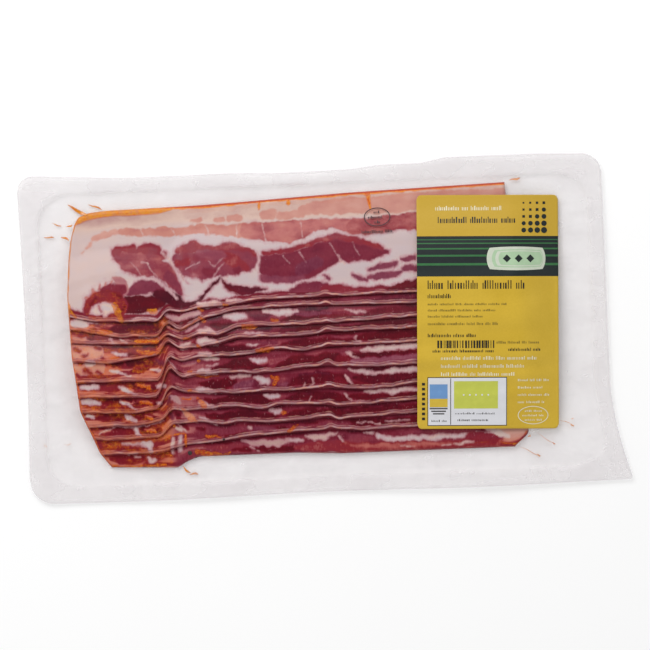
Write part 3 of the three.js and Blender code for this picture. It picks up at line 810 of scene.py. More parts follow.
    (LEAN, 0.75, 0, 338, 381, 4, 344, 383, 3.5),
    (FAT, 0.5, 0, 312, 378, 0.7, 313.5, 383, 0.8, 309, 386, 0.6),
    (FAT, 0.5, 0, 304.7, 382, 0.5, 304.5, 387, 0.6),
    (FAT, 0.4, 0, 345, 375.5, 1, 348.5, 379.5, 1.8, 351.5, 383, 1.2),
    (FAT, 0.2, 0, 349, 368.5, 1.2, 357, 371, 2, 369, 372.5, 3.8, 378, 373, 2, 385, 371.5, 2, 392, 371, 4,
     400, 370, 2.5, 412, 369.5, 4, 420, 369.5, 3),
    (LEAN, 0.9, 0.3, 366, 369, 0.8, 375, 370, 2, 384, 368.5, 1.5),
    (LEAN, 0.9, 0.3, 395, 366.5, 1, 405, 365.5, 1.2),
    (LEAN, 0.93, 0.25, 354, 377, 2, 362, 379, 4, 375, 380, 5.5, 390, 380, 5.5, 405, 378.5, 5.5, 418,
     377.5, 5.5),
    (LEAN, 0.75, 0, 354, 383, 2, 362, 384.5, 2.5, 370, 385, 2),
    (LEAN, 0.97, 0.1, 205, 398.5, 1, 214, 402, 3, 224, 402, 4.5, 236, 399.5, 4.5, 248, 399, 4, 258,
     399.5, 4.5, 267, 402, 3.5, 273, 403, 1.5),
    (FAT, 0, 0, 264, 395, 1.5, 271, 396.5, 3, 278, 396, 2.5),
    (LEAN, 0.4, 0.7, 220, 405, 1.2, 232, 404, 1.5, 245, 404.5, 1.8, 258, 406, 1.5, 268, 408, 1),
    (LEAN, 0.92, 0.1, 284, 400.5, 0.8, 293, 398, 2.5, 303, 396, 4.5, 314, 396.5, 5, 326, 396.5, 4.5, 336,
     397.5, 4.5, 344, 399, 3.5, 350, 401.5, 1.5),
    (LEAN, 0.8, 0.6, 300, 393.5, 1, 312, 393, 1),
    (FAT, 0.5, 0, 312, 396.5, 0.8, 310, 400, 1, 309, 403, 0.8),
    (FAT, 0.4, 0, 345, 393, 1.2, 348, 396.5, 1.8, 351, 400, 1),
    (LEAN, 0.38, 0.5, 280, 403.5, 1, 290, 404, 2.5, 303, 404.5, 2, 310, 405, 1),
    (FAT, 0.25, 0, 364, 391, 1, 373, 391.5, 2.8, 382, 391, 1.5, 393, 391, 3.2, 405, 389.5, 2.2, 418, 389,
     2.5),
    (LEAN, 0.93, 0.1, 350, 396, 2, 360, 397, 3.5, 375, 398, 4, 390, 398, 4, 405, 396.5, 4, 418, 395.5, 4.5),
    (LEAN, 0.97, 0.15, 206, 414, 0.8, 214, 416, 3.5, 222, 419, 4.5, 232, 415.5, 5, 244, 415, 4.5, 256,
     415.5, 4, 268, 416.5, 3.5, 276, 416.5, 2, 279, 416, 1),
    (LEAN, 0.85, 0, 208, 416, 1.5, 216, 420, 2, 222, 422, 1.5),
    (FAT, 0, 0, 270, 410, 1.5, 275, 411.5, 3, 281, 411, 2),
    (STAIN, 0.8, 0, 283, 412.5, 2, 286, 412, 2),
    (LEAN, 0.4, 0.7, 227, 421, 1.2, 240, 420.5, 1.2, 258, 421, 1.2, 272, 422, 1),
    (LEAN, 0.93, 0.1, 287, 415, 1, 295, 414, 4, 306, 413, 5, 318, 412.5, 4.5, 330, 412.5, 4.5, 342, 414,
     4, 351, 414.5, 3.5),
    (FAT, 0.4, 0, 311, 417.5, 0.7, 320, 415.8, 0.9),
    (LEAN, 0.93, 0.1, 352, 410.5, 3.5, 370, 411, 4, 390, 409.5, 4, 405, 408.5, 4, 418, 407.5, 4),
    (LEAN, 0.55, 0.5, 208, 430, 3, 220, 430, 4, 235, 430, 4, 247, 429.5, 4),
    (LEAN, 0.95, 0.1, 225, 437, 1, 235, 435, 2, 244, 433.5, 2.5, 250, 435, 1.5),
    (LEAN, 0.95, 0.1, 198, 427.5, 1, 204, 429, 1.5),
    (LEAN, 0.5, 0.8, 255, 430, 3, 265, 430.5, 3.5, 272, 431, 3, 280, 431.5, 2.5),
    (LEAN, 0.95, 0.1, 262, 434, 0.8, 275, 434.5, 1.2, 286, 433, 1.2),
    (LEAN, 0.95, 0.1, 277, 427.5, 1, 285, 427.5, 1.8),
    (FAT, 0.5, 0, 249.5, 427.5, 1.8, 250, 428, 1.8),
    (STAIN, 0.8, 0, 205, 436, 1.2, 213, 436.5, 1.8, 221, 437, 1),
    (STAIN, 0.8, 0, 289, 432, 2, 294, 427, 1.8, 298, 425, 1),
    (LEAN, 0.5, 0.5, 297, 428, 2, 303, 429.5, 3, 308, 431, 1.5),
    (LEAN, 0.92, 0.1, 306, 423.5, 1, 317, 422.5, 1.2),
    (LEAN, 0.55, 0.5, 320, 425, 2.5, 335, 425, 3, 351, 425, 3),
    (LEAN, 0.93, 0, 316, 429, 1.2, 325, 428.5, 1.5, 334, 428, 1),
    (LEAN, 0.93, 0.1, 352, 421, 2.5, 370, 422.5, 3.5, 390, 421.5, 3.5, 418, 420, 4),
    (FAT, 0.6, 0, 357, 422, 0.6, 370, 422.5, 0.8, 380, 423.5, 0.7),
    (FAT, 0.6, 0, 386, 421, 0.7, 400, 420.5, 0.8, 410, 420, 0.5),
    (LEAN, 0.35, 0.4, 362, 429, 1.5, 390, 428.5, 2, 418, 427.5, 2.2),
    (LEAN, 0.5, 0.25, 205, 446, 2, 220, 447, 4, 235, 446.5, 4, 244, 447, 2.5),
    (LEAN, 0.9, 0, 204, 443, 0.5, 232, 443.3, 0.6),
    (LEAN, 0.93, 0, 233, 450.5, 1, 243, 449, 2.5, 251, 451, 1.2),
    (FAT, 0.75, 0, 242, 441, 1, 252, 442.5, 3, 265, 443, 3.5, 278, 443, 3.5, 286, 441, 2.5),
    (FAT, 0.1, 0, 289, 440, 1.5, 297, 440, 2.5, 303, 440, 1.5),
    (FAT, 0.5, 0, 250, 447, 0.8, 255, 449.5, 1, 259, 451.5, 1),
    (LEAN, 0.95, 0, 257, 449, 1.5, 268, 450, 2.5, 280, 449.5, 2.5, 292, 448.5, 3),
    (FAT, 0.6, 0, 306, 436, 1, 314, 437.5, 3, 324, 437, 3, 332, 434, 2, 337, 433, 1),
    (LEAN, 0.44, 0, 296, 447.5, 2, 310, 446.5, 5, 325, 446, 6, 340, 446.5, 6.5, 352, 447, 6),
    (FAT, 0.45, 0, 339, 435.5, 0.8, 341.5, 439, 1.2, 344, 443, 0.8),
    (LEAN, 0.42, 0, 345, 447, 5, 370, 447, 5, 400, 446.5, 5, 440, 446, 5, 480, 444, 5, 520, 442, 5),
    (LEAN, 0.34, 0, 352, 445.5, 1.6, 375, 446, 2.2, 400, 445, 2, 430, 444, 1.6, 462, 443, 1.4),
    (LEAN, 0.85, 0.3, 288, 294.5, 1.6, 310, 295, 2, 334, 294, 1.7),
    (STAIN, 0.25, 0, 345, 447, 5, 370, 447, 5, 400, 446.5, 5, 440, 446, 5, 480, 444, 5, 520, 442, 5),
    (FAT, 0.1, 0, 365, 432.5, 1, 373, 432.5, 1.5),
    (FAT, 0.1, 0, 378, 435.5, 3, 385, 438, 3, 396, 438.5, 3.2, 410, 438, 3, 425, 437.5, 3, 450, 436, 3,
     480, 434.5, 3, 505, 433, 3),
    (STAIN, 0.8, 0, 198, 452, 3, 210, 454, 3, 222, 454.5, 2, 230, 452.5, 1.5),
    # Valley
    (FAT, 0.7, 0, 166, 314, 1.5, 173, 318, 2.5, 180, 318.5, 3, 190, 315.5, 3.5, 199, 313, 3),
    (LEAN, 0.97, 0.1, 163.5, 318, 1.5, 170, 322, 3, 178, 326.5, 4, 186, 323.5, 2.5, 193, 319.5, 2, 200,
     316.5, 1.5),
    (FAT, 0.5, 0, 164, 323, 1, 171, 328, 1, 178.5, 331.7, 1, 186, 328, 1, 194, 322, 1, 200, 319, 0.8),
    (STAIN, 0.6, 0, 164, 323, 1, 171, 328, 1, 178.5, 331.7, 1, 186, 328, 1, 194, 322, 1, 200, 319, 0.8),
    (FAT, 0.7, 0, 186, 331, 1, 192, 328, 1.5, 198, 323.5, 1.5),
    (LEAN, 0.97, 0.1, 160, 325.5, 1.5, 166, 330, 2.5, 171, 333.5, 1.5),
    (LEAN, 0.85, 0.1, 178, 336, 1, 186, 337, 1.5, 193, 334.5, 2, 196.5, 331.5, 1.5),
    (STAIN, 0.8, 0, 184, 339, 1.2, 191, 338.5, 1.2),
    (LEAN, 0.95, 0.2, 166.5, 334.5, 0.8, 172, 338.5, 1.2, 179, 342.5, 1),
    (LEAN, 0.95, 0.2, 166.5, 341.5, 1, 173, 346, 1.8, 181, 350, 1.2),
    (LEAN, 0.95, 0.2, 169, 356.5, 0.8, 175.5, 359.2, 1),
    (LEAN, 0.95, 0.2, 174, 355, 0.6, 180, 359, 1, 182, 361.5, 1.2),
    (LEAN, 0.95, 0.2, 175, 369.5, 1, 181, 373.5, 2.2, 184, 377, 2),
    (LEAN, 0.95, 0.2, 172, 372, 0.8, 176, 376, 0.8),
    (LEAN, 0.95, 0.2, 175, 384.5, 0.7, 180, 388, 1.2, 184, 391, 1),
    (FAT, 0.45, 0, 183, 347, 3, 187, 345, 3.5, 190, 343, 1.5),
    (LEAN, 0.8, 0, 191, 350, 1, 195, 342, 1.5, 198, 334, 1),
    (FAT, 0.3, 0, 167.5, 358.5, 0.5, 172, 364, 0.7, 177.5, 369.5, 0.7),
    (LEAN, 0.3, 0.7, 184, 361, 3, 190, 361, 4, 194, 360, 3),
    (STAIN, 0.9, 0, 188, 371, 1, 192, 371, 1.2),
    (STAIN, 0.9, 0, 188, 390, 1.5, 191, 390.5, 1.5),
    (STAIN, 0.9, 0, 183, 398.5, 1, 190, 399, 1),
    (FAT, 0.8, 0, 171, 397, 2.5, 176, 399, 3.5, 179, 402, 2),
    (LEAN, 0.6, 1, 169, 398, 1.5, 170, 408, 2.5, 172, 418, 1.8),
    (LEAN, 0.95, 0.1, 185, 408, 1.2, 187.5, 410.5, 1.2),
    (LEAN, 0.95, 0.1, 176, 413, 1.5, 179, 414.5, 1.8),
    (LEAN, 0.75, 0, 177.5, 417.5, 1.5, 182, 421.5, 2.8, 186.5, 426, 1.8, 188.5, 428.5, 0.8),
    (FAT, 0.5, 0, 181, 408.5, 1, 187, 414, 2.8, 193, 419, 3, 197, 421.5, 1.2),
    (STAIN, 0.6, 0, 181, 408.5, 1, 187, 414, 2.8, 193, 419, 3, 197, 421.5, 1.2),
    (FAT, 0.3, 0, 176, 421.5, 0.6, 181, 426, 0.8, 186, 431, 0.8),
    (FAT, 0.3, 0, 176, 428, 1.5, 180, 429, 2.5),
    (FAT, 0.05, 0, 180.5, 436, 2, 180.5, 443, 2.3, 180.5, 450, 2.2),
    (FAT, 0.4, 0, 173, 438, 1.8, 173, 446, 2, 173.5, 453, 1.5),
    (STAIN, 0.9, 0, 175, 434.5, 1, 180, 433, 1, 185, 434, 1, 186, 440, 1.5, 186, 447, 1.2),
    (STAIN, 0.9, 0, 173.5, 426, 1.8, 174, 427, 1.8),
    # Left block
    (FAT, 0.15, 0, 73, 323, 3.5, 80, 323.5, 5, 86, 323.5, 4),
    (FAT, 0.5, 0, 89, 322.5, 1.5, 97, 323, 1),
    (LEAN, 0.85, 0.5, 112, 331, 3, 120, 330, 5, 132, 329.5, 6, 145, 329, 6.5, 156, 328.5, 6),
    (LEAN, 0.75, 0, 90, 333, 3, 95, 331, 3, 92, 338, 3),
    (STAIN, 0.8, 0, 99, 333, 2, 106, 332, 3.5, 112, 333, 2),
    (LEAN, 0.4, 0.5, 77, 333, 2.5, 86, 333, 2.5),
    (FAT, 0.6, 0, 75, 340, 2.5, 85, 340, 2.5),
    (STAIN, 0.5, 0, 75, 340, 2.5, 85, 340, 2.5),
    (FAT, 0.25, 0, 134, 320.5, 1.5, 141, 319.5, 2, 150, 318.5, 2, 158, 320, 1.5),
    (STAIN, 0.8, 0, 148, 311, 2, 156, 311, 3),
    (STAIN, 0.8, 0, 115, 305, 3, 118, 312, 4, 122, 320, 3),
    (FAT, 0.6, 0, 111, 339.5, 1, 114, 343.5, 1.5, 119, 345.5, 1),
    (FAT, 0.35, 0, 121, 339, 1, 124, 341, 1.5, 127, 343, 1),
    (STAIN, 1, 0, 136, 341, 1.5, 147, 341, 2.2, 158, 341, 1.8),
    (FAT, 0.3, 0, 140, 337, 0.6, 160, 337, 0.6),
    (LEAN, 0.9, 0.3, 130, 341, 2, 133, 341, 2),
    (LEAN, 0.88, 0.3, 113, 347, 1, 125, 347, 1.8, 140, 346, 2, 158, 346, 1.5),
    (FAT, 0.15, 0, 112.5, 352.5, 1, 118, 354, 2, 127, 355, 1.8),
    (STAIN, 0.9, 0, 139, 351.5, 1.5, 150, 352.5, 2.5, 161, 352.5, 1.5),
    (LEAN, 0.9, 0.3, 130, 354.5, 2, 138, 355.5, 2),
    (LEAN, 0.75, 0.05, 113, 364, 2, 122, 364.5, 3),
    (LEAN, 0.88, 0.3, 130, 363, 3.5, 142, 361.5, 3.5, 152, 362, 2.5),
    (FAT, 0.2, 0, 110.5, 370, 0.8, 118, 372, 1.8, 127, 375, 1.2, 131, 376, 0.6),
    (LEAN, 0.85, 0.1, 132, 372, 1, 140, 370.5, 2.5, 148, 369, 1.5),
    (STAIN, 0.6, 0, 132, 372, 1, 140, 370.5, 2.5, 148, 369, 1.5),
    (FAT, 0.3, 0, 151, 370, 1, 156, 370, 1.8, 160, 369.5, 1.5),
    (LEAN, 0.6, 1, 157, 362, 3, 163, 364, 3),
    (FAT, 0.6, 0, 75, 352, 8, 98, 352, 7),
    (FAT, 0.6, 0, 78, 366, 8, 98, 368, 7),
    (STAIN, 0.5, 0, 75, 352, 8, 98, 352, 7),
    (STAIN, 0.5, 0, 78, 366, 8, 98, 368, 7),
    (LEAN, 0.55, 0, 76, 349, 1.5, 80, 351, 1.5),
    (LEAN, 0.55, 0, 84, 356, 2, 88, 355, 1.5),
    (LEAN, 0.55, 0, 96, 347, 1.5, 101, 349, 2),
    (LEAN, 0.55, 0, 78, 361, 1.5, 82, 363, 2),
    (LEAN, 0.55, 0, 103, 359, 2, 106, 361, 1.5),
    (LEAN, 0.55, 0, 86, 370, 2, 92, 373, 2),
    (LEAN, 0.55, 0, 98, 372, 1.5, 102, 375, 2),
    (LEAN, 0.55, 0, 77, 374, 1.5, 80, 376, 1.5),
    (FAT, 0.4, 0, 88, 364, 3, 93, 362, 3),
    (FAT, 0.3, 0, 83, 387.5, 2.5, 90, 387.5, 3.5, 98, 387.5, 3),
    (LEAN, 0.6, 0.05, 104, 387, 3, 112, 387, 4.5, 118, 387.5, 4),
    (FAT, 0.35, 0, 120, 386, 1.5, 126, 389, 2, 133, 392.5, 1.2, 137, 394, 0.6),
    (LEAN, 0.75, 0.1, 130, 386, 1, 140, 386, 3.5, 150, 387, 3.5, 154, 386, 1),
    (STAIN, 0.8, 0, 139, 385, 1.5, 145, 385.5, 2.5, 150, 386, 1.5),
    (FAT, 0.2, 0, 156, 387.5, 1, 161, 386, 2, 165, 386, 2),
    (FAT, 0.25, 0, 84, 401, 2.5, 91, 402, 3.5, 99, 403.5, 2.5),
    (LEAN, 0.78, 0.1, 104, 402.5, 3, 112, 402.5, 3.5, 119, 402.5, 3.5),
    (FAT, 0.35, 0, 121, 401, 1.2, 127, 404, 2.2, 134, 408.5, 1.2, 138, 410, 0.5),
    (LEAN, 0.8, 0.2, 127, 399, 1, 132, 401, 1.5),
    (LEAN, 0.8, 0.2, 139, 403, 1, 147, 403.5, 3.2, 154, 404, 2),
    (STAIN, 0.8, 0, 142, 402.5, 1.8, 148, 402.5, 2.2),
    (FAT, 0.2, 0, 156, 403, 1, 161, 403.5, 1.8),
    (FAT, 0.4, 0, 89, 416.5, 1.2, 92, 417, 2),
    (LEAN, 0.78, 0.1, 98, 417.5, 1.5, 108, 417, 2.8, 118, 417, 2.8, 125, 417.5, 1.5),
    (FAT, 0.35, 0, 125.5, 414.5, 1.5, 130, 418, 2.5, 136, 422, 1.2),
    (LEAN, 0.75, 0.2, 134, 417, 1.5, 139, 419, 2),
    (LEAN, 0.75, 0.2, 141, 419, 1, 149, 418.5, 2.6, 157, 419.5, 1),
    (STAIN, 0.8, 0, 145, 417.5, 1, 151, 418, 1.8),
    (LEAN, 0.3, 0, 89, 427, 2, 95, 429, 4, 98, 434, 3),
    (STAIN, 0.5, 0, 89, 427, 2, 95, 429, 4, 98, 434, 3),
    (FAT, 0.4, 0, 100, 434.5, 0.6, 110, 428.5, 0.7, 118, 425.5, 0.8, 137, 427.5, 0.8, 150, 424.5, 0.7,
     163, 421, 0.6),
    (LEAN, 0.65, 0, 106, 434.5, 0.8, 114, 432, 3, 124, 431, 4, 131, 431, 3.5),
    (FAT, 0.15, 0, 136, 429, 2.2, 137.5, 433, 2.5, 140, 435.5, 1.5),
    (LEAN, 0.7, 0.05, 143, 432, 1.5, 151, 431, 4, 159, 430, 3),
    (STAIN, 0.5, 0, 143, 432, 1.5, 151, 431, 4, 159, 430, 3),
    (LEAN, 0.5, 0.3, 104, 446, 3.5, 120, 448, 4, 140, 447, 4),
    (FAT, 0.5, 0, 122, 444, 1, 132, 443.5, 1.5, 142, 444, 1.5),
    (FAT, 0.15, 0, 144, 445, 2.5, 150, 444, 3.5, 149, 449, 2.2),
    (LEAN, 0.65, 0, 106, 448, 1.5, 118, 448.5, 2, 130, 448.5, 2, 139, 448.5, 1.5),
    (FAT, 0.2, 0, 129, 454, 0.8, 134, 454, 1, 138, 453.8, 0.6),
    (LEAN, 0.65, 0, 112, 459, 2, 120, 460, 4, 132, 460, 4, 142, 460, 3),
    (FAT, 0.25, 0, 149, 458, 1.5, 152, 461, 2.5, 155, 460, 2.2),
    (FAT, 0.25, 0, 135, 457.5, 1, 141, 457.5, 1),
    (STAIN, 1, 0, 111, 466, 1, 125, 466.5, 1.2, 140, 466.8, 1.5, 155, 466, 1.8, 165, 465, 1.5),
    # Rind drips and smear
    (STAIN, 1.2, 0, 258.7, 201, 0.8, 258.5, 205, 1.3, 258.7, 209, 0.8),
    (STAIN, 1.2, 0, 288, 199, 1, 288, 204, 1.2),
    (STAIN, 1.2, 0, 355.5, 186, 1.2, 361, 190, 2.4, 367, 194.7, 2.6, 369, 201, 1.8, 370, 208, 1),
    # Right end of the lowest slice
    (LEAN, 0.5, 0, 470, 436, 5, 482, 437, 5.5, 494, 438, 5),
    (LEAN, 0.02, 0, 502, 431, 4.5, 513, 431, 5, 523, 429, 4.5, 527, 427, 3),
    (LEAN, 0.14, 0, 508, 438, 3.5, 517, 437, 3, 522, 434, 2),
    (FAT, 0.35, 0, 488, 428, 2.2, 495, 430, 3.2, 502, 434, 3, 508, 436, 2),
    (FAT, 0.5, 0, 442, 445, 0.8, 450, 444.5, 1),
    (FAT, 0.5, 0, 455, 444, 1.2, 464, 442.5, 1.6, 474, 442.5, 1.2),
    (FAT, 0.45, 0, 430, 437, 1.2, 440, 434, 1.2, 450, 434, 1),
    (FAT, 0.45, 0, 400, 446, 0.6, 414, 445.5, 0.6),
    (STAIN, 0.85, 0, 500, 441, 1, 505, 443, 1, 512, 443.5, 1.2, 519, 443.5, 1.4, 524, 438, 0.9, 527, 432,
     0.7),
    (STAIN, 0.5, 0, 477, 443, 1, 488, 441.5, 1),
    # Dark rims round the oily ovals of the left block
    (LEAN, 0.82, 0.1, 136, 386, 3, 146, 386, 4, 154, 388, 2.5),
    (LEAN, 0.82, 0.1, 138, 402.5, 3, 147, 402.5, 4, 155, 404, 2.5),
    (LEAN, 0.82, 0.1, 143, 417, 3, 151, 417.5, 3.5, 158, 418, 2),
    (LEAN, 0.82, 0.1, 144, 430, 4, 152, 430.5, 4.5, 160, 430, 3),
    (LEAN, 0.2, 0.1, 137, 384.5, 1.2, 146, 384.5, 2, 151, 386, 1.2),
    (LEAN, 0.2, 0.1, 139, 401, 1.2, 147, 401.5, 2, 152, 402.5, 1.2),
    (LEAN, 0.2, 0.1, 145, 416, 1, 152, 416.5, 1.6),
    (LEAN, 0.2, 0.1, 146, 429.5, 1.4, 154, 430, 2),
    (STAIN, 0.95, 0, 139, 386, 1.3, 146, 386.5, 2.2, 150, 388, 1.3),
    (STAIN, 0.95, 0, 141, 403, 1.3, 147, 403.5, 2.2, 152, 404.5, 1.2),
    (STAIN, 0.95, 0, 147, 417.5, 1.2, 153, 418, 1.6),
    (STAIN, 0.95, 0, 148, 431, 1.3, 155, 431, 2),
    (FAT, 0.1, 0, 82, 387, 2.6, 90, 387, 3, 98, 388, 2.2),
    (FAT, 0.1, 0, 84, 402, 2.4, 91, 402, 2.8, 98, 403, 1.8),
    (FAT, 0.1, 0, 88, 416, 1.8, 94, 417, 2),
    (FAT, 0.1, 0, 121, 388, 1.2, 127, 391, 1.8, 134, 394, 0.8),
    (FAT, 0.1, 0, 123, 402, 1.4, 128, 405, 1.8, 133, 408, 0.8),
    (FAT, 0.1, 0, 127, 415, 1.4, 131, 418, 2, 137, 421, 0.8),
    (FAT, 0.1, 0, 135, 429, 2.2, 138, 434, 2.2),
    (FAT, 0.1, 0, 143, 443, 2, 148, 446, 3, 151, 451, 2.2),
)
# Widths over which strokes fade, and how far the stroke's edge wanders
SOFTNESS, PATCH_SOFTNESS, FAT_MARGIN, WANDER, FINE_WANDER = 0.6, 1.1, 1.3, 0.9, 0.45


def stroke_points(flat):
    """Points of a stroke as rows of x, y and half width, in millimetres."""
    px, py, half = np.array(flat, float).reshape(-1, 3).T
    right, up = px - ORIGIN_PX, ORIGIN_PY - py
    x = np.round(PX_ALONG * right + PX_ACROSS * up, 1)
    y = np.round(PX_ALONG * up - PX_ACROSS * right, 1)
    return np.stack([x, y, np.round(half * MM_PER_PX, 2)], axis=1)


def stroke_depth(x, y, chain):
    """Depth in millimetres inside a stroke through points of (x, y, half width)."""
    depth = np.full(x.shape, -9.0)
    for (x0, y0, half0), (x1, y1, half1) in zip(chain, np.vstack([chain[1:], chain[-1:]])):
        dx, dy = x1 - x0, y1 - y0
        share = np.clip(((x - x0) * dx + (y - y0) * dy) / max(dx * dx + dy * dy, 1e-6), 0, 1)
        away = np.hypot(x - x0 - share * dx, y - y0 - share * dy)
        depth = np.maximum(depth, mix(half0, half1, share) - away)
    return depth


def painted(x, y, lean, tone, hue, pink, stain):
    """Values of the meat at x, y: how deep in lean, its tone and hue, how pink the fat and how much oil."""
    bent_x = x + WANDER * (noise(x / 2.6, y / 2.6, 1) - 0.5)
    bent_y = y + WANDER * (noise(x / 2.2, y / 2.2, 2) - 0.5) + FINE_WANDER * (noise(x, y, 3) - 0.5)
    for kind, amount, purple, *flat in STROKES:
        chain = stroke_points(flat)
        low, high = chain.min(axis=0), chain.max(axis=0)
        reach = high[2] + 2
        near = (x > low[0] - reach) & (x < high[0] + reach) & (y > low[1] - reach) & (y < high[1] + reach)
        if not near.any():
            continue
        depth = stroke_depth(bent_x[near], bent_y[near], chain)
        cover = smooth(depth / SOFTNESS + 0.5)
        if kind == LEAN:
            in_fat = smooth(-lean[near] / SOFTNESS)
            cover = smooth((depth + FAT_MARGIN * in_fat) / PATCH_SOFTNESS + 0.5)
            lean[near] = np.maximum(lean[near], depth)
            tone[near] = mix(tone[near], amount, cover)
            hue[near] = mix(hue[near], purple, cover)
        elif kind == FAT:
            lean[near] = np.minimum(lean[near], -depth)
            pink[near] = mix(pink[near], amount, cover)
            stain[near] *= 1 - 0.8 * cover
        else:
            stain[near] = np.maximum(stain[near], amount * cover)
    return {"lean": lean, "tone": tone, "hue": hue, "pink": pink, "stain": stain}


def rind_stain(x, y):
    """Paprika along the rind and round the left end."""
    width = 0.75 + 1.35 * smooth((-57 - x) / 8) + 0.6 * noise(x / 3, y / 5, 31)
    down = slice_back(TOP_SLICE, x) - y
    rind = smooth(3.4 - 2.6 * down / width)
    rind += 0.4 * smooth(1.4 - down / 0.7) * smooth((x + 75) / 30)
    rind += 0.15 * smooth((x + 57) / 8)
    rind *= down < 3 * width
    side = 0.35 + 0.45 * smooth((-8 - y) / 10) + 0.5 * noise(x / 8, y / 2.5, 33)
    return np.maximum(rind, 1.2 * smooth(1.3 - (x - left_end(y)) / side))


def slice_values(k, x, y):
    """Point values of slice k for its material."""
    low = y - slice_edge(k, x)
    left_block = smooth((VALLEY_X - 3 - x) / 4)
    if k == TOP_SLICE:
        lean = 3.4 - low + 1.2 * (noise(x / 4, y / 4, 23) - 0.5)
        tone, hue, stain = np.full_like(x, 0.7), np.full_like(x, 0.2), np.zeros_like(x)
        pink = 0.08 + 0.5 * smooth((y - 44) / 7) + 0.15 * smooth((-60 - x) / 20)
    else:
        lean, pink = np.full_like(x, 1.5), np.full_like(x, 0.6)
        streaks = smooth((noise(x / 8, low / 1.3 + 5 * k, 22) - 0.3) / 0.4)
        tone = mix(mix(0.64, 0.44, streaks), mix(0.6, 0.18, streaks), left_block)
        tone -= 0.12 * bump((x - VALLEY_X) / 9)
        hue = mix(0.4, 0.05, left_block)
        stain = left_block * (0.2 + 0.5 * noise(x / 5, y / 2.5, 21)) + 0.2 * bump((x - VALLEY_X) / 9)
    values = painted(x, y, lean, tone, hue, pink, stain)
    values["stain"] = np.maximum(values["stain"], rind_stain(x, y))
    values["low"] = low - 0.9 * bump((x - CREASE_X) / 2.2) - 0.8 * noise(x / 4.5, low / 9 + 3 * k, 24) + 0.2
    if k == 0:
        values["low"] += LOWEST_EDGE_RISE
    values["gap"] = np.full_like(x, SLICE_WIDTH) if k == TOP_SLICE else slice_edge(k + 1, x) - y
    return values


# Cells of a slice along and across it, fine only left of the label and in the height that shows
SLICE_COLUMNS, TOP_SLICE_ROWS, SLICE_ROWS = 400, 105, 33
LABEL_SIDE_X, SHOWN_COLUMNS, SHOWN_ROWS, SHOWN_HEIGHT = 44.0, 0.88, 0.74, 12.0
# Rough ends of the stack, the gap between slices, and how a slice's end is rounded
STACK_LEFT, STACK_RIGHT, SLICE_GAP, END_ROUND, END_LIFT = -104.0, 88.0, 0.03, 1.6, 0.35


def slice_mesh(k):
    """Slab of slice k, draped over the slices below it. Only the part that shows is fine."""
    top = k == TOP_SLICE

    def place(a, b, side):
        x = mix(STACK_LEFT, STACK_RIGHT, a)
        # The ends depend on y and the edges on x, so a few rounds find both
        for _ in range(4):
            low, back = slice_edge(k, x), slice_back(k, x)
            shown = mix(low, back, b) if top else low + SHOWN_HEIGHT * b / SHOWN_ROWS
            hidden = mix(low + SHOWN_HEIGHT, back, (b - SHOWN_ROWS) / (1 - SHOWN_ROWS))
            y = shown if top else np.where(b < SHOWN_ROWS, shown, hidden)
            left, right = left_end(y), right_end(y)
            split = (LABEL_SIDE_X - left) / (right - left)
            share = np.where(a < SHOWN_COLUMNS, a / SHOWN_COLUMNS * split,
                             mix(split, 1, (a - SHOWN_COLUMNS) / (1 - SHOWN_COLUMNS)))
            x = mix(left, right, share)
        above, below = slice_height(k, x, y), slice_height(k - 1, x, y) + SLICE_GAP
        end = smooth(np.minimum(x - left, right - x) / END_ROUND + END_LIFT)
        z = np.where(side > 0.5, mix(below, above, end), below)
        return to_frame(x, y, z), slice_values(k, x, y)

    return grid_mesh(f"bacon_slice_{k + 1:02d}", SLICE_COLUMNS, TOP_SLICE_ROWS if top else SLICE_ROWS, place)


# Film


# Rough length and width of the sheet, for the line of painted shade along its border
SHEET_LENGTH, SHEET_WIDTH = 250.0, 138.0
BORDER_SHADE_WIDTH, BORDER_SHADE_STRENGTH = 1.3, 0.45
# Gap between the top slice and the film, and height of the base film over the floor
FILM_GAP, BASE_HEIGHT = 0.15, 0.08


def film_values(x, y, crease):
    """Where the film is rim or over food, and how light or dark its creases are."""
    rim = smooth(outside_pocket(x, y) / POCKET_EDGE + 0.5)
    return {"rim": rim, "over_food": bacon_cover(x, y), "crease": np.clip(crease, -1, 1)}


def bacon_cover(x, y):
    """1 over the bacon, 0 beside it."""
    low = y - slice_edge(0, x)
    high = slice_back(TOP_SLICE, x) - y
    ends = np.minimum(x - left_end(y), right_end(y) - x)
    return smooth(np.minimum(np.minimum(low, high), ends) / 1.2 + 0.5)


def wrinkle_lines():
    """Wrinkles of the film as (x, y, x, y, width, height), fanned out from the food by a seeded rule."""
    rng = np.random.RandomState(7)
    lines = []
    for _ in range(26):
        x = rng.uniform(-100, 84)
        lines.append((x, -54, x + rng.uniform(-9, 9), -66, rng.uniform(1.6, 3.0), rng.uniform(0.04, 0.12)))
    for _ in range(18):
        y = rng.uniform(-46, 50)
        lines.append((-104, y, -120, y + rng.uniform(-10, 6), rng.uniform(1.6, 3.0), rng.uniform(0.04, 0.12)))
    for _ in range(16):
        x = rng.uniform(-95, 110)
        lines.append((x, 60, x + rng.uniform(-8, 8), 68, rng.uniform(1.8, 2.8), rng.uniform(0.01, 0.04)))
    for _ in range(20):
        y = rng.uniform(-60, 58)
        lines.append((104, y, 121, y + rng.uniform(-14, 10), rng.uniform(1.5, 2.8), rng.uniform(0.05, 0.13)))
    for spread in np.linspace(0.15, 1.2, 9):
        dx, dy = 34 * math.cos(spread), -30 * math.sin(spread)
        lines.append((84, -46, 84 + dx, -46 + dy, rng.uniform(1.4, 2.4), rng.uniform(0.1, 0.2)))
    return lines


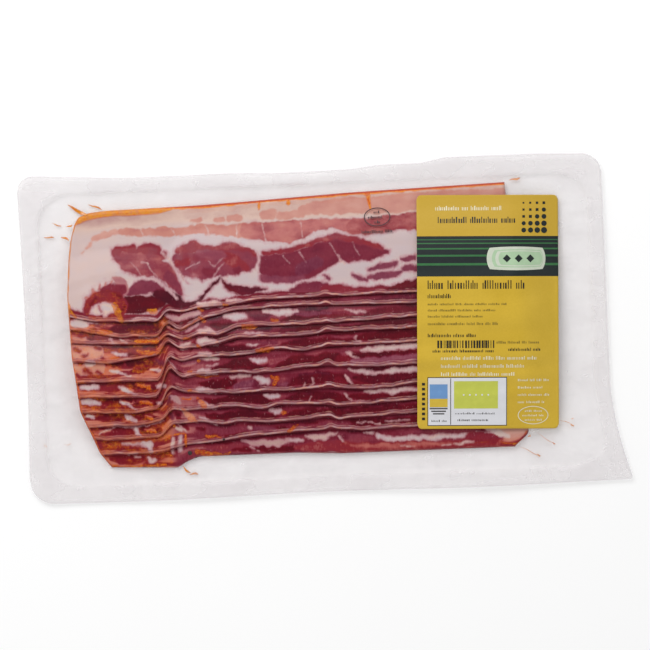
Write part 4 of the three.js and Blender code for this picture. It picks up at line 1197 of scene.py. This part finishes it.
def wrinkle_height(x, y):
    """Height of the wrinkles over the film."""
    total = np.zeros_like(x)
    for x0, y0, x1, y1, width, height in wrinkle_lines():
        length = math.hypot(x1 - x0, y1 - y0)
        ux, uy = (x1 - x0) / length, (y1 - y0) / length
        down = (x - x0) * ux + (y - y0) * uy
        near = (down > -3) & (down < length + 3)
        across = (x - x0) * -uy + (y - y0) * ux + 0.8 * np.sin(down / 5 + x0)
        ends = smooth(down / 3) * smooth((length - down) / 5)
        total += np.where(near, height * bump(across / width) * ends, 0)
    return total


def film_top_mesh():
    """Top sheet, shrunk over the slices, with its wrinkles as relief."""
    def place(a, b, side):
        x, y, pulled = sheet_place(a, b)
        food = FILM_GAP + slice_height(TOP_SLICE, x, y)
        z = np.where(bacon_cover(x, y) > 0.3, np.maximum(film_height(x, y), food), film_height(x, y))
        wrinkle = wrinkle_height(x, y)
        # Painted highlight and shade on the wrinkles, by which way they slope
        crease_shading = (wrinkle_height(x + 0.4, y - 0.5) - wrinkle) / 0.2
        border = np.minimum(np.minimum(a, 1 - a) * SHEET_LENGTH, np.minimum(b, 1 - b) * SHEET_WIDTH)
        # A line of painted shade along the sheet's border
        crease_shading = crease_shading - BORDER_SHADE_STRENGTH * (1 - smooth(border / BORDER_SHADE_WIDTH - 0.15))
        return to_frame(pulled, y, z + wrinkle), film_values(x, y, crease_shading)

    return grid_mesh("film_top", 355, 200, place, thick=False)


def film_base_mesh():
    """Bottom sheet, flat under the slices and raised to meet the top sheet at the rim."""
    def place(a, b, side):
        x, y, pulled = sheet_place(a, b)
        rim = smooth((outside_pocket(x, y) + 1.5) / 3)
        z = mix(BASE_HEIGHT, rim_height(x, y) - RIM_THICKNESS * 0.6, rim)
        wrinkle = wrinkle_height(x, y) * rim * 0.8
        return to_frame(pulled, y, z + wrinkle), film_values(x, y, np.zeros_like(x))

    return grid_mesh("film_base", 240, 135, place, thick=False)


def film_material(name, look, share):
    """Clear film, milky in the rim and the skirt, with painted highlight and shade on its creases. share says
    how much of the milkiness this sheet has.
    """
    material, tree, shader = new_material(name)
    soft = grain(tree, 9.0, stretch=(1.6, 1.0, 1.0), detail=2.0)
    fine = grain(tree, 1.4, detail=3.0)
    crease, over_food = attribute(tree, "crease"), attribute(tree, "over_food")
    # Creases get painted highlight and painted shade, and hide more
    light, dark = crease.at_least(0.0), (crease * -1.0).at_least(0.0)
    colour = blend(light, linear(look.milk), linear(look.highlight))
    beside_food = attribute(tree, "rim").fade(0.0, 1.0, look.skirt_milk * share, look.rim_milk * share)
    beside_food = beside_food * soft.fade(0.2, 0.8, 0.85, 1.15) + (light + dark) * 0.2
    feed(tree, shader.inputs, {
        "Base Color": blend(dark * 0.6, colour, linear(look.shade)),
        "Roughness": blend_value(over_food, 0.42, fine.fade(0.3, 0.7, 0.14, 0.26)),
        "Specular IOR Level": 0.22,
        "Alpha": blend_value(over_food, beside_food, look.food_milk * share).at_most(0.95),
        "Normal": bumped(soft, 0.12, 0.3),
    })
    return material


# Label


class LabelSurface:
    """Height of the label over its own width and height, worked out once."""

    columns, rows = 76, 125

    def __init__(self):
        across, up = (np.linspace(-0.5, 0.5, count) for count in (self.columns, self.rows))
        u, v = np.meshgrid(across, up, indexing="ij")
        x, y = self.turned(u * LABEL_WIDTH, v * LABEL_HEIGHT)
        reach = np.linspace(-1.6, 1.6, 5)
        height = np.max([film_height(x + dx, y + dy) for dx in reach for dy in reach], axis=0)
        for _ in range(6):
            padded = np.pad(height, 1, mode="edge")
            near = padded[:-2, 1:-1] + padded[2:, 1:-1] + padded[1:-1, :-2] + padded[1:-1, 2:]
            height = 0.5 * height + 0.125 * near
        self.height = height + LABEL_GAP

    def turned(self, u, v):
        cos, sin = math.cos(LABEL_TURN), math.sin(LABEL_TURN)
        return LABEL_X + u * cos - v * sin, LABEL_Y + u * sin + v * cos

    def at(self, u, v):
        """Height of the underside at u, v from the label's middle."""
        i = np.clip((u / LABEL_WIDTH + 0.5) * (self.columns - 1), 0, self.columns - 1.001)
        j = np.clip((v / LABEL_HEIGHT + 0.5) * (self.rows - 1), 0, self.rows - 1.001)
        m, n = i.astype(int), j.astype(int)
        low = mix(self.height[m, n], self.height[m + 1, n], i - m)
        high = mix(self.height[m, n + 1], self.height[m + 1, n + 1], i - m)
        return mix(low, high, j - n)

    def point(self, u, v, lift):
        x, y = self.turned(u, v)
        return to_frame(x, y, self.at(u, v) + lift)


def label_mesh(surface):
    """Thin slab with rounded corners that follows the pack under it."""
    def place(a, b, side):
        u = mix(-0.5, 0.5, a) * LABEL_WIDTH
        inset = corner_inset(LABEL_WIDTH / 2 - np.abs(u), LABEL_RADIUS)
        v = mix(-0.5, 0.5, b) * (LABEL_HEIGHT - 2 * inset)
        return surface.point(u, v, side * LABEL_THICKNESS), {}

    return grid_mesh("label_sheet", 90, 140, place)


def label_material(look):
    """Yellow paper, paler in patches and with painted shade that makes it less bright towards the back."""
    material, tree, shader = new_material("label paper")
    fibre = grain(tree, 0.8, detail=3.0)
    patch = grain(tree, 18.0, detail=2.0)
    _, y, _ = object_axes(tree)
    colour = blend(patch.fade(0.3, 0.7), linear(look.yellow), linear(look.yellow_light))
    # Painted shade: the ground colour darkens towards the pack's back edge
    colour = blend(y.fade(10 * MM, 45 * MM, 0.0, 0.8), colour, linear(look.yellow_back_shade))
    colour = blend(fibre.fade(0.3, 0.7, 0.0, 0.12), colour, linear(look.yellow_dark))
    feed(tree, shader.inputs, {
        "Base Color": colour,
        "Roughness": fibre.fade(0.3, 0.7, 0.36, 0.48),
        "Specular IOR Level": 0.16,
        "Normal": bumped(fibre, 0.05, 0.4),
    })
    return material


def print_material(name, colour, wear=0.1):
    """Printed ink with a slight unevenness."""
    material, tree, shader = new_material(name)
    fibre = grain(tree, 0.6, detail=3.0)
    patchy = grain(tree, 3.0, detail=3.0).fade(0.4, 0.75, 0.0, wear)
    paler = tuple(min(1.0, c * 1.25 + 0.06) for c in colour)
    feed(tree, shader.inputs, {
        "Base Color": blend(patchy, linear(colour), linear(paler)),
        "Roughness": fibre.fade(0.3, 0.7, 0.36, 0.5),
        "Specular IOR Level": 0.3,
    })
    return material


class Print:
    """Collects printed fields on one surface into one mesh for each ink."""

    def __init__(self, name, surface_point):
        self.name = name
        self.surface_point = surface_point
        self.fields = {}

    def field(self, ink, u, v, width, height, lift=0.36, round_share=0.0, turn=0.0, ring=0.0):
        """A printed field around u, v. round_share 1 makes it an oval, ring leaves only an outline."""
        self.fields.setdefault(ink, []).append((u, v, width, height, lift, round_share, turn, ring))

    def mesh(self, ink):
        bm = bmesh.new()
        for u, v, width, height, lift, round_share, turn, ring in self.fields[ink]:
            made = self.ring(bm, ring, width, height) if ring else self.patch(bm, width, height)
            cos, sin = math.cos(math.radians(turn)), math.sin(math.radians(turn))
            for vert in made:
                s, t = vert.co.x * 2, vert.co.y * 2
                if round_share and not ring:
                    s, t = (mix(s, s * math.sqrt(1 - t * t / 2), round_share),
                            mix(t, t * math.sqrt(1 - s * s / 2), round_share))
                p, q = s * width / 2, t * height / 2
                across, up = u + p * cos - q * sin, v + p * sin + q * cos
                vert.co = Vector(self.surface_point(np.array(across), np.array(up), lift))
        return finished_mesh(bm, f"{self.name}_{ink}", rounded=False)

    def patch(self, bm, width, height):
        """A flat grid, fine enough to follow the surface."""
        cells_x, cells_y = max(1, round(width / 1.2)), max(1, round(height / 1.2))
        return bmesh.ops.create_grid(bm, x_segments=cells_x, y_segments=cells_y, size=0.5)["verts"]

    def ring(self, bm, share, width, height):
        """A flat oval ring. share is the width of its line in millimetres."""
        outer = bmesh.ops.create_circle(bm, segments=48, radius=0.5)["verts"]
        inner = bmesh.ops.create_circle(bm, segments=48, radius=0.5)["verts"]
        for vert in inner:
            vert.co.x *= 1 - 2 * share / width
            vert.co.y *= 1 - 2 * share / height
        edges = list({e for v in outer + inner for e in v.link_edges})
        bmesh.ops.bridge_loops(bm, edges=edges)
        return outer + inner


def word_line(sheet, ink, left, right, v, height, seed, lift=0.37):
    """A line of word-like groups of thin upright bars, in place of text."""
    rng = np.random.RandomState(seed)
    bar, gap = 0.2 + 0.05 * height, 0.16 + 0.12 * height
    u = left
    while u < right - height:
        for _ in range(rng.randint(4, 16)):
            if u + bar > right:
                break
            tall = height * rng.choice((0.7, 0.7, 1.0))
            wide = bar * rng.choice((1.0, 1.0, 1.7))
            sheet.field(ink, u + wide / 2, v + (tall - height) / 2, wide, tall, lift)
            u += wide + gap * rng.uniform(0.7, 1.3)
        u += height * 0.35 + 0.3


def print_label(surface):
    """Printed layout: a dark green band with plain stripes, bars for text, a white panel and an oval ring."""
    def top(mm):
        return LABEL_HEIGHT / 2 - mm

    sheet = Print("label_print", surface.point)
    full_width, bar_widths = LABEL_WIDTH - 0.02, (0.25, 0.5, 0.75)
    sheet.field("green", 0, top(26.0), full_width, 17.0, 0.34)
    for n in range(5):
        sheet.field("leaf_green", 0, top(19.0 + 1.2 * n + 0.35 * n * n), full_width, 0.35 + 0.16 * n, 0.36)
    sheet.field("silver", 12.0, top(27.0), 25.0, 10.0, 0.4, round_share=0.35)
    for n in range(4):
        ink = ("silver", "mint")[n % 2]
        sheet.field(ink, 12.0 + 0.6 * n, top(27.0), 23.4 - 1.6 * n, 8.6 - 0.9 * n, 0.42 + 0.02 * n,
                    round_share=0.35)
    for n in range(3):
        sheet.field("green", 8.0 + 5.0 * n, top(27.0), 2.4, 2.4, 0.5, turn=45)
    for m in range(5):
        for n in range(4):
            size = 2.7 - 0.28 * m - 0.2 * n
            sheet.field("green", 24.0 - 2.9 * n, top(15.0 - 2.9 * m), size, size, 0.37, round_share=1)
    word_line(sheet, "cream", -22, 6, top(5.6), 1.9, 3)
    word_line(sheet, "dark", -21, 12, top(10.6), 2.6, 4)
    word_line(sheet, "dark", -25.5, 16, top(38.0), 3.6, 5)
    word_line(sheet, "dark", -25.5, -15, top(42.8), 1.8, 6)
    for n in range(3):
        word_line(sheet, "faint", -25.5, 8 - 5 * n, top(46.2 + 2.6 * n), 0.9, 7 + n)
    word_line(sheet, "faint", -25.5, 4, top(54.5), 1.1, 11)
    word_line(sheet, "dark", -25.5, -5, top(59.4), 1.5, 12)
    rng = np.random.RandomState(5)
    u = -21.5
    while u < 2.5:
        bar = rng.choice(bar_widths)
        sheet.field("dark", u + bar / 2, top(63.2), bar, 3.2)
        u += bar + rng.choice(bar_widths)
    word_line(sheet, "dark", -23.5, 2.5, top(66.0), 1.2, 24)
    word_line(sheet, "faint", 3.5, 22, top(62.4), 1.1, 13)
    word_line(sheet, "dark", 8.5, 22, top(65.4), 1.3, 14)
    for n in range(3):
        word_line(sheet, "cream", -20, 21 - 4 * n, top(69.0 + 3.4 * n), 1.5, 15 + n)
    sheet.field("dark", -8.9, top(87.4), 33.6, 20.6, 0.35)
    sheet.field("white", -8.9, top(87.4), 33.0, 20.0, 0.37)
    sheet.field("blue", -21.0, top(85.0), 7.6, 9.8, 0.39)
    sheet.field("sand", -21.0, top(88.0), 7.6, 3.6, 0.4)
    for n in range(3):
        sheet.field("dark", -21.0, top(90.4 + 1.1 * n), 7.6 - 1.4 * n, 0.5, 0.4)
    sheet.field("dark", -15.9, top(87.4), 0.3, 19.6, 0.39)
    sheet.field("lime", -5.2, top(84.6), 18.6, 11.6, 0.39)
    for n in range(5):
        sheet.field("white", -10.4 + 2.6 * n, top(84.6), 0.9, 0.9, 0.41, round_share=1)
    word_line(sheet, "dark", -14, 3.5, top(92.6), 1.1, 21)
    word_line(sheet, "dark", -13, 1.5, top(95.2), 1.1, 22)
    word_line(sheet, "dark", -24, -17.5, top(95.6), 0.9, 23)
    for n in range(4):
        word_line(sheet, "cream", 12.5, 26 - 2 * (n % 2), top(78.4 + 3.1 * n), 1.0, 25 + n)
    sheet.field("cream", 19.0, top(93.3), 13.0, 7.8, 0.38, ring=0.35)
    for n in range(3):
        word_line(sheet, "cream", 15.5 - (n == 1), 22.5 + (n == 1), top(91.5 + 1.9 * n), 0.8, 31 + n)
    for n in range(8):
        sheet.field("dark", 2.6 - LABEL_WIDTH / 2, top(80.0 + 2.1 * n), 1.3, 1.1, 0.37)
    return sheet


STAMP_X, STAMP_Y = 28.3, 47.1


def print_stamp():
    """The oval stamp on the film, as a plain ring with short bars."""
    def point(u, v, lift):
        x, y = STAMP_X + u, STAMP_Y + v
        reach = (-0.6, 0, 0.6)
        height = np.max([film_height(x + dx, y + dy) for dx in reach for dy in reach], axis=0)
        return to_frame(x, y, np.maximum(height, slice_height(TOP_SLICE, x, y)) + lift)

    sheet = Print("stamp", point)
    sheet.field("ink", 0, 0, 11.2, 8.0, 0.3, ring=0.36)
    for n, (left, right) in enumerate(((-1.4, 1.0), (-3.9, 3.9), (-1.2, 1.2))):
        word_line(sheet, "ink", left, right, 2.1 - 2.1 * n, 1.15, 41 + n, 0.3)
    word_line(sheet, "ink", -6.8, 6.4, -6.1, 1.25, 45, 0.3)
    return sheet


# Oil streaks and pepper under the film

# Streaks of oil as (x, y, x, y, width)
OIL_STREAKS = (
    (-102.7, 57.8, -94.4, 53.0, 1.7), (-93.8, 57.9, -88.0, 55.2, 0.8), (-103.4, 48.3, -100.8, 49.4, 0.9),
    (-109.4, 50.1, -105.4, 49.0, 0.6), (-113.2, 44.7, -108.8, 44.1, 0.8), (-106.0, 44.6, -102.4, 42.9, 1.1),
    (-58.6, -55.0, -55.4, -58.0, 1.0), (-55.8, -58.2, -52.0, -58.4, 1.0), (84.9, 60.2, 89.6, 61.2, 1.0),
    (101.5, -41.8, 107.4, -44.2, 0.25), (106.6, -43.8, 107.7, -45.2, 0.8), (107.0, -41.6, 107.8, -42.0, 0.5),
    (92.0, -47.2, 99.6, -52.2, 0.25), (98.4, -51.4, 99.8, -52.3, 0.5), (84.7, -52.8, 93.2, -57.0, 0.3),
    (91.6, -56.2, 93.3, -57.0, 0.8), (88.3, -48.2, 89.4, -48.5, 1.0), (-117.2, -43.8, -115.4, -43.9, 0.4),
    (-108.4, -43.8, -105.2, -43.4, 0.2),
)


def oil_mesh():
    """Flat drops drawn out along the film's wrinkles."""
    bm = bmesh.new()
    for x0, y0, x1, y1, width in OIL_STREAKS:
        made = bmesh.ops.create_uvsphere(bm, u_segments=14, v_segments=10, radius=0.5)["verts"]
        length, turn = math.hypot(x1 - x0, y1 - y0), math.atan2(y1 - y0, x1 - x0)
        for vert in made:
            along_share = vert.co.x + 0.5
            wide = width * mix(0.55, 1.25, along_share)
            u, v = vert.co.x * length, vert.co.y * wide + 0.25 * math.sin(vert.co.x * 6 + x0)
            x = (x0 + x1) / 2 + u * math.cos(turn) - v * math.sin(turn)
            y = (y0 + y1) / 2 + u * math.sin(turn) + v * math.cos(turn)
            z = float(film_height(np.array([x]), np.array([y]))[0]) - 0.12 + vert.co.z * 0.3
            vert.co = Vector(to_frame(x, y, z))
    return finished_mesh(bm, "oil_streaks")


def oil_material(look):
    """Glossy orange oil."""
    material, tree, shader = new_material("paprika oil")
    fine = grain(tree, 0.9, detail=3.0)
    feed(tree, shader.inputs, {
        "Base Color": ramp(fine, ((0.25, look.paprika), (0.6, look.paprika_light))),
        "Roughness": fine.fade(0.3, 0.7, 0.1, 0.25),
        "Specular IOR Level": 0.5,
    })
    return material


# Peppercorn bits as (x, y, size)
PEPPER = ((-55.1, -49.4, 1.9), (-40.5, -44.2, 1.1), (-52.6, -51.2, 0.8))


def pepper_mesh():
    """Flattened, uneven bits of peppercorn on the top slice."""
    bm = bmesh.new()
    for x, y, size in PEPPER:
        made = bmesh.ops.create_icosphere(bm, subdivisions=3, radius=0.5)["verts"]
        top = float(slice_height(TOP_SLICE, np.array([x]), np.array([y]))[0])
        for vert in made:
            n = vert.co.normalized()
            rough = 1 + 0.16 * math.sin(9 * n.x + 5 * n.y) * math.cos(7 * n.z + x)
            vert.co = Vector(to_frame(x + vert.co.x * size * rough, y + vert.co.y * size * rough,
                                      top + vert.co.z * size * 0.2 * rough))
    return finished_mesh(bm, "pepper_bits")


def pepper_material():
    material, tree, shader = new_material("pepper")
    fine = grain(tree, 0.4, detail=4.0)
    feed(tree, shader.inputs, {
        "Base Color": ramp(fine, ((0.3, (0.05, 0.035, 0.035)), (0.7, (0.24, 0.16, 0.13)))),
        "Roughness": 0.5,
        "Normal": bumped(fine, 0.1, 0.6),
    })
    return material


# Settings that a user would change


def colour_property(name, value, description):
    return FloatVectorProperty(name=name, description=description, default=value, size=3, min=0, max=1,
                               subtype="COLOR_GAMMA")


class BaconLook(bpy.types.PropertyGroup):
    fat: colour_property("Fat", (0.76, 0.69, 0.70), "Colour of the white fat")
    pink_fat: colour_property("Pink fat", (0.82, 0.70, 0.65), "Colour of fat with a little meat in it")
    edge_fat: colour_property("Mauve fat", (0.60, 0.36, 0.40), "Colour of fat mixed with dark meat")
    fat_border: colour_property("Fat border", (0.72, 0.49, 0.53), "Colour of the fat that meets dark meat")
    fleck: colour_property("Fleck", (0.66, 0.40, 0.43), "Colour of the small pale flecks in the lean")
    edge_band: colour_property("Cut edge", (0.55, 0.30, 0.35), "Colour of a slice's cut lower edge")
    # Pale cut lines: pale tissue with a painted highlight along the rounded edge
    edge_highlight_line: colour_property("Cut line", (0.84, 0.60, 0.54), "Colour of the pale lines along that edge")
    edge_fat_highlight_line: colour_property("Pale cut line", (0.80, 0.64, 0.64), "Second colour of those lines")
    # Painted shade on the cut edge where it turns down
    edge_wall_shade: colour_property("Turned edge", (0.40, 0.09, 0.14), "Colour of the edge where it turns down")
    edge_height: FloatProperty(name="Cut edge height", description="Millimetres that the cut edge shows",
                               default=1.7, min=0.1, max=4)
    tint: colour_property("Oil tint", (1.0, 0.66, 0.40), "What thin oil does to the colour of the meat")
    paprika: colour_property("Paprika", (0.82, 0.37, 0.06), "Colour of paprika oil on the meat")
    paprika_dark: colour_property("Dark paprika", (0.71, 0.22, 0.06), "Colour where the oil is thick")
    paprika_light: colour_property("Light paprika", (0.87, 0.56, 0.12), "Colour where the oil is thin")


class FilmLook(bpy.types.PropertyGroup):
    milk: colour_property("Milk", (0.905, 0.883, 0.889), "Colour that the film adds where it is milky")
    highlight: colour_property("Highlight", (1.0, 1.0, 1.0), "Colour of a crease that catches light")
    shade: colour_property("Shade", (0.62, 0.60, 0.62), "Colour of a crease in shade")
    rim_milk: FloatProperty(name="Rim milkiness", description="How much the sealed rim hides",
                            default=0.5, min=0, max=1, subtype="FACTOR")
    skirt_milk: FloatProperty(name="Skirt milkiness", description="How much the film beside the food hides",
                              default=0.4, min=0, max=1, subtype="FACTOR")
    food_milk: FloatProperty(name="Food milkiness", description="How much the film over the food hides",
                             default=0.005, min=0, max=1, subtype="FACTOR")


class LabelLook(bpy.types.PropertyGroup):
    yellow: colour_property("Yellow", (0.82, 0.68, 0.22), "Ground colour of the label")
    yellow_light: colour_property("Light yellow", (0.85, 0.71, 0.25), "Ground colour where it is lighter")
    # Painted shade on the ground colour near the pack's back edge
    yellow_back_shade: colour_property("Back yellow", (0.76, 0.62, 0.23), "Ground colour near the pack's back edge")
    yellow_dark: colour_property("Dark yellow", (0.70, 0.57, 0.12), "Colour of the paper's fibres")


class StageLook(bpy.types.PropertyGroup):
    floor: colour_property("Floor", (0.97, 0.97, 0.97), "Colour of the floor")
    floor_glow: FloatProperty(name="Floor glow", description="How much the floor shines, as a light table",
                              default=0.12, min=0, max=1)
    sky: FloatProperty(name="Sky", description="Strength of the light from all round", default=0.78, min=0)
    key: FloatProperty(name="Key light", description="Power of the main soft light", default=6.4, min=0,
                       unit="POWER")
    lens: FloatProperty(name="Focal length", description="Focal length of the camera", default=400.0, min=1,
                        unit="CAMERA")


INKS = {
    "green": (0.09, 0.13, 0.13),
    "leaf_green": (0.20, 0.42, 0.24),
    "silver": (0.78, 0.81, 0.74),
    "mint": (0.66, 0.77, 0.63),
    "cream": (0.90, 0.87, 0.74),
    "white": (0.88, 0.88, 0.90),
    "dark": (0.14, 0.13, 0.12),
    "faint": (0.52, 0.44, 0.17),
    "blue": (0.44, 0.60, 0.80),
    "sand": (0.85, 0.72, 0.25),
    "lime": (0.78, 0.80, 0.33),
    "ink": (0.16, 0.10, 0.13),
}


# Operators


class BACON_PACK_OT_slices(bpy.types.Operator):
    """Lays the eleven bacon slices"""

    bl_idname = "bacon_pack.slices"
    bl_label = "Bacon slices"

    def execute(self, context):
        material = bacon_material(context.scene.bacon_look)
        for k in range(SLICES):
            add_piece(slice_mesh(k), material, ("pack",))
        return {"FINISHED"}


class BACON_PACK_OT_film(bpy.types.Operator):
    """Seals the slices between two sheets of film"""

    bl_idname = "bacon_pack.film"
    bl_label = "Film"

    def execute(self, context):
        look = context.scene.film_look
        add_piece(film_top_mesh(), film_material("top film", look, 0.6), ("pack",))
        add_piece(film_base_mesh(), film_material("base film", look, 0.55), ("pack",))
        return {"FINISHED"}


class BACON_PACK_OT_oil(bpy.types.Operator):
    """Adds paprika oil and pepper caught under the film"""

    bl_idname = "bacon_pack.oil"
    bl_label = "Oil and pepper"

    def execute(self, context):
        add_piece(oil_mesh(), oil_material(context.scene.bacon_look))
        add_piece(pepper_mesh(), pepper_material())
        return {"FINISHED"}


class BACON_PACK_OT_label(bpy.types.Operator):
    """Sticks on the label with its plain print"""

    bl_idname = "bacon_pack.label"
    bl_label = "Label"

    def execute(self, context):
        surface = LabelSurface()
        add_piece(label_mesh(surface), label_material(context.scene.label_look), ("label",))
        sheet = print_label(surface)
        for ink in sheet.fields:
            add_piece(sheet.mesh(ink), print_material(f"print {ink}", INKS[ink]))
        return {"FINISHED"}


class BACON_PACK_OT_stamp(bpy.types.Operator):
    """Prints the oval stamp on the film"""

    bl_idname = "bacon_pack.stamp"
    bl_label = "Stamp"

    def execute(self, context):
        add_piece(print_stamp().mesh("ink"), print_material("stamp ink", INKS["ink"], 0.3))
        return {"FINISHED"}


class BACON_PACK_OT_stage(bpy.types.Operator):
    """Sets the floor, the light and the camera"""

    bl_idname = "bacon_pack.stage"
    bl_label = "Stage"

    def execute(self, context):
        look = context.scene.stage_look
        add_floor(look)
        add_light(look)
        add_camera(look)
        context.scene.view_settings.view_transform = "Standard"
        return {"FINISHED"}


def add_floor(look):
    """A white floor that glows a little, as on a light table."""
    bm = bmesh.new()
    bmesh.ops.create_grid(bm, x_segments=8, y_segments=8, size=1.5)
    mesh = finished_mesh(bm, "floor", rounded=False)
    material, tree, shader = new_material("floor")
    soft = grain(tree, 60.0, detail=1.0)
    feed(tree, shader.inputs, {
        "Base Color": blend(soft.fade(0.3, 0.7, 0.0, 0.02), linear(look.floor), linear((0.9, 0.9, 0.9))),
        "Roughness": 0.9,
        "Specular IOR Level": 0.0,
        "Emission Color": (1, 1, 1, 1),
        "Emission Strength": look.floor_glow,
    })
    mesh.materials.append(material)
    floor = bpy.data.objects.new("floor", mesh)
    bpy.context.scene.collection.objects.link(floor)


def add_light(look):
    """Even light from all round that is dark straight above, and one broad soft light."""
    world = bpy.data.worlds.new("studio")
    world.use_nodes = True
    tree = world.node_tree
    direction = add_node(tree, "ShaderNodeTexCoord").outputs["Generated"]
    height = Value(tree, add_node(tree, "ShaderNodeSeparateXYZ", {0: direction}).outputs["Z"])
    strength = height.fade(0.80, 0.97, look.sky, look.sky * 0.25)
    feed(tree, tree.nodes["Background"].inputs, {"Color": (1, 1, 1, 1), "Strength": strength})
    bpy.context.scene.world = world
    lamp = bpy.data.lights.new("key", "AREA")
    lamp.shape, lamp.size, lamp.size_y, lamp.energy = "RECTANGLE", 0.8, 0.5, look.key
    place = bpy.data.objects.new("key", lamp)
    place.location = (-0.35, 0.75, 0.75)
    place.rotation_euler = (-place.location).to_track_quat("-Z", "Y").to_euler()
    bpy.context.scene.collection.objects.link(place)


def add_camera(look):
    """The photograph's view, straight from above."""
    data = bpy.data.cameras.new("camera")
    data.lens, data.sensor_width = look.lens, 36.0
    width = PHOTO_SIDE_PX * MM_PER_PX * MM
    camera = bpy.data.objects.new("camera", data)
    x, y = VIEW_CENTRE
    centre = to_frame(np.array(x), np.array(y), np.array(RIM_TOP))
    camera.location = (centre[0], centre[1], centre[2] + width * data.lens / data.sensor_width)
    camera.rotation_euler = (0, 0, -PHOTO_TURN)
    bpy.context.scene.collection.objects.link(camera)
    bpy.context.scene.camera = camera


class BACON_PACK_PT_panel(bpy.types.Panel):
    """Lists the steps that build the pack"""

    bl_idname = "BACON_PACK_PT_panel"
    bl_label = "Bacon pack"
    bl_space_type = "VIEW_3D"
    bl_region_type = "UI"
    bl_category = "Bacon pack"

    def draw(self, context):
        for operator in OPERATORS:
            self.layout.operator(operator.bl_idname)


OPERATORS = (BACON_PACK_OT_slices, BACON_PACK_OT_film, BACON_PACK_OT_oil, BACON_PACK_OT_label,
             BACON_PACK_OT_stamp, BACON_PACK_OT_stage)
LOOKS = {"bacon_look": BaconLook, "film_look": FilmLook, "label_look": LabelLook, "stage_look": StageLook}


def register():
    for name, look in LOOKS.items():
        bpy.utils.register_class(look)
        setattr(bpy.types.Scene, name, PointerProperty(type=look))
    for kind in OPERATORS + (BACON_PACK_PT_panel,):
        bpy.utils.register_class(kind)


def unregister():
    for kind in reversed(OPERATORS + (BACON_PACK_PT_panel,)):
        bpy.utils.unregister_class(kind)
    for name, look in LOOKS.items():
        delattr(bpy.types.Scene, name)
        bpy.utils.unregister_class(look)


def main():
    register()
    bpy.ops.bacon_pack.slices()
    bpy.ops.bacon_pack.film()
    bpy.ops.bacon_pack.oil()
    bpy.ops.bacon_pack.label()
    bpy.ops.bacon_pack.stamp()
    bpy.ops.bacon_pack.stage()


if __name__ == "__main__":
    main()
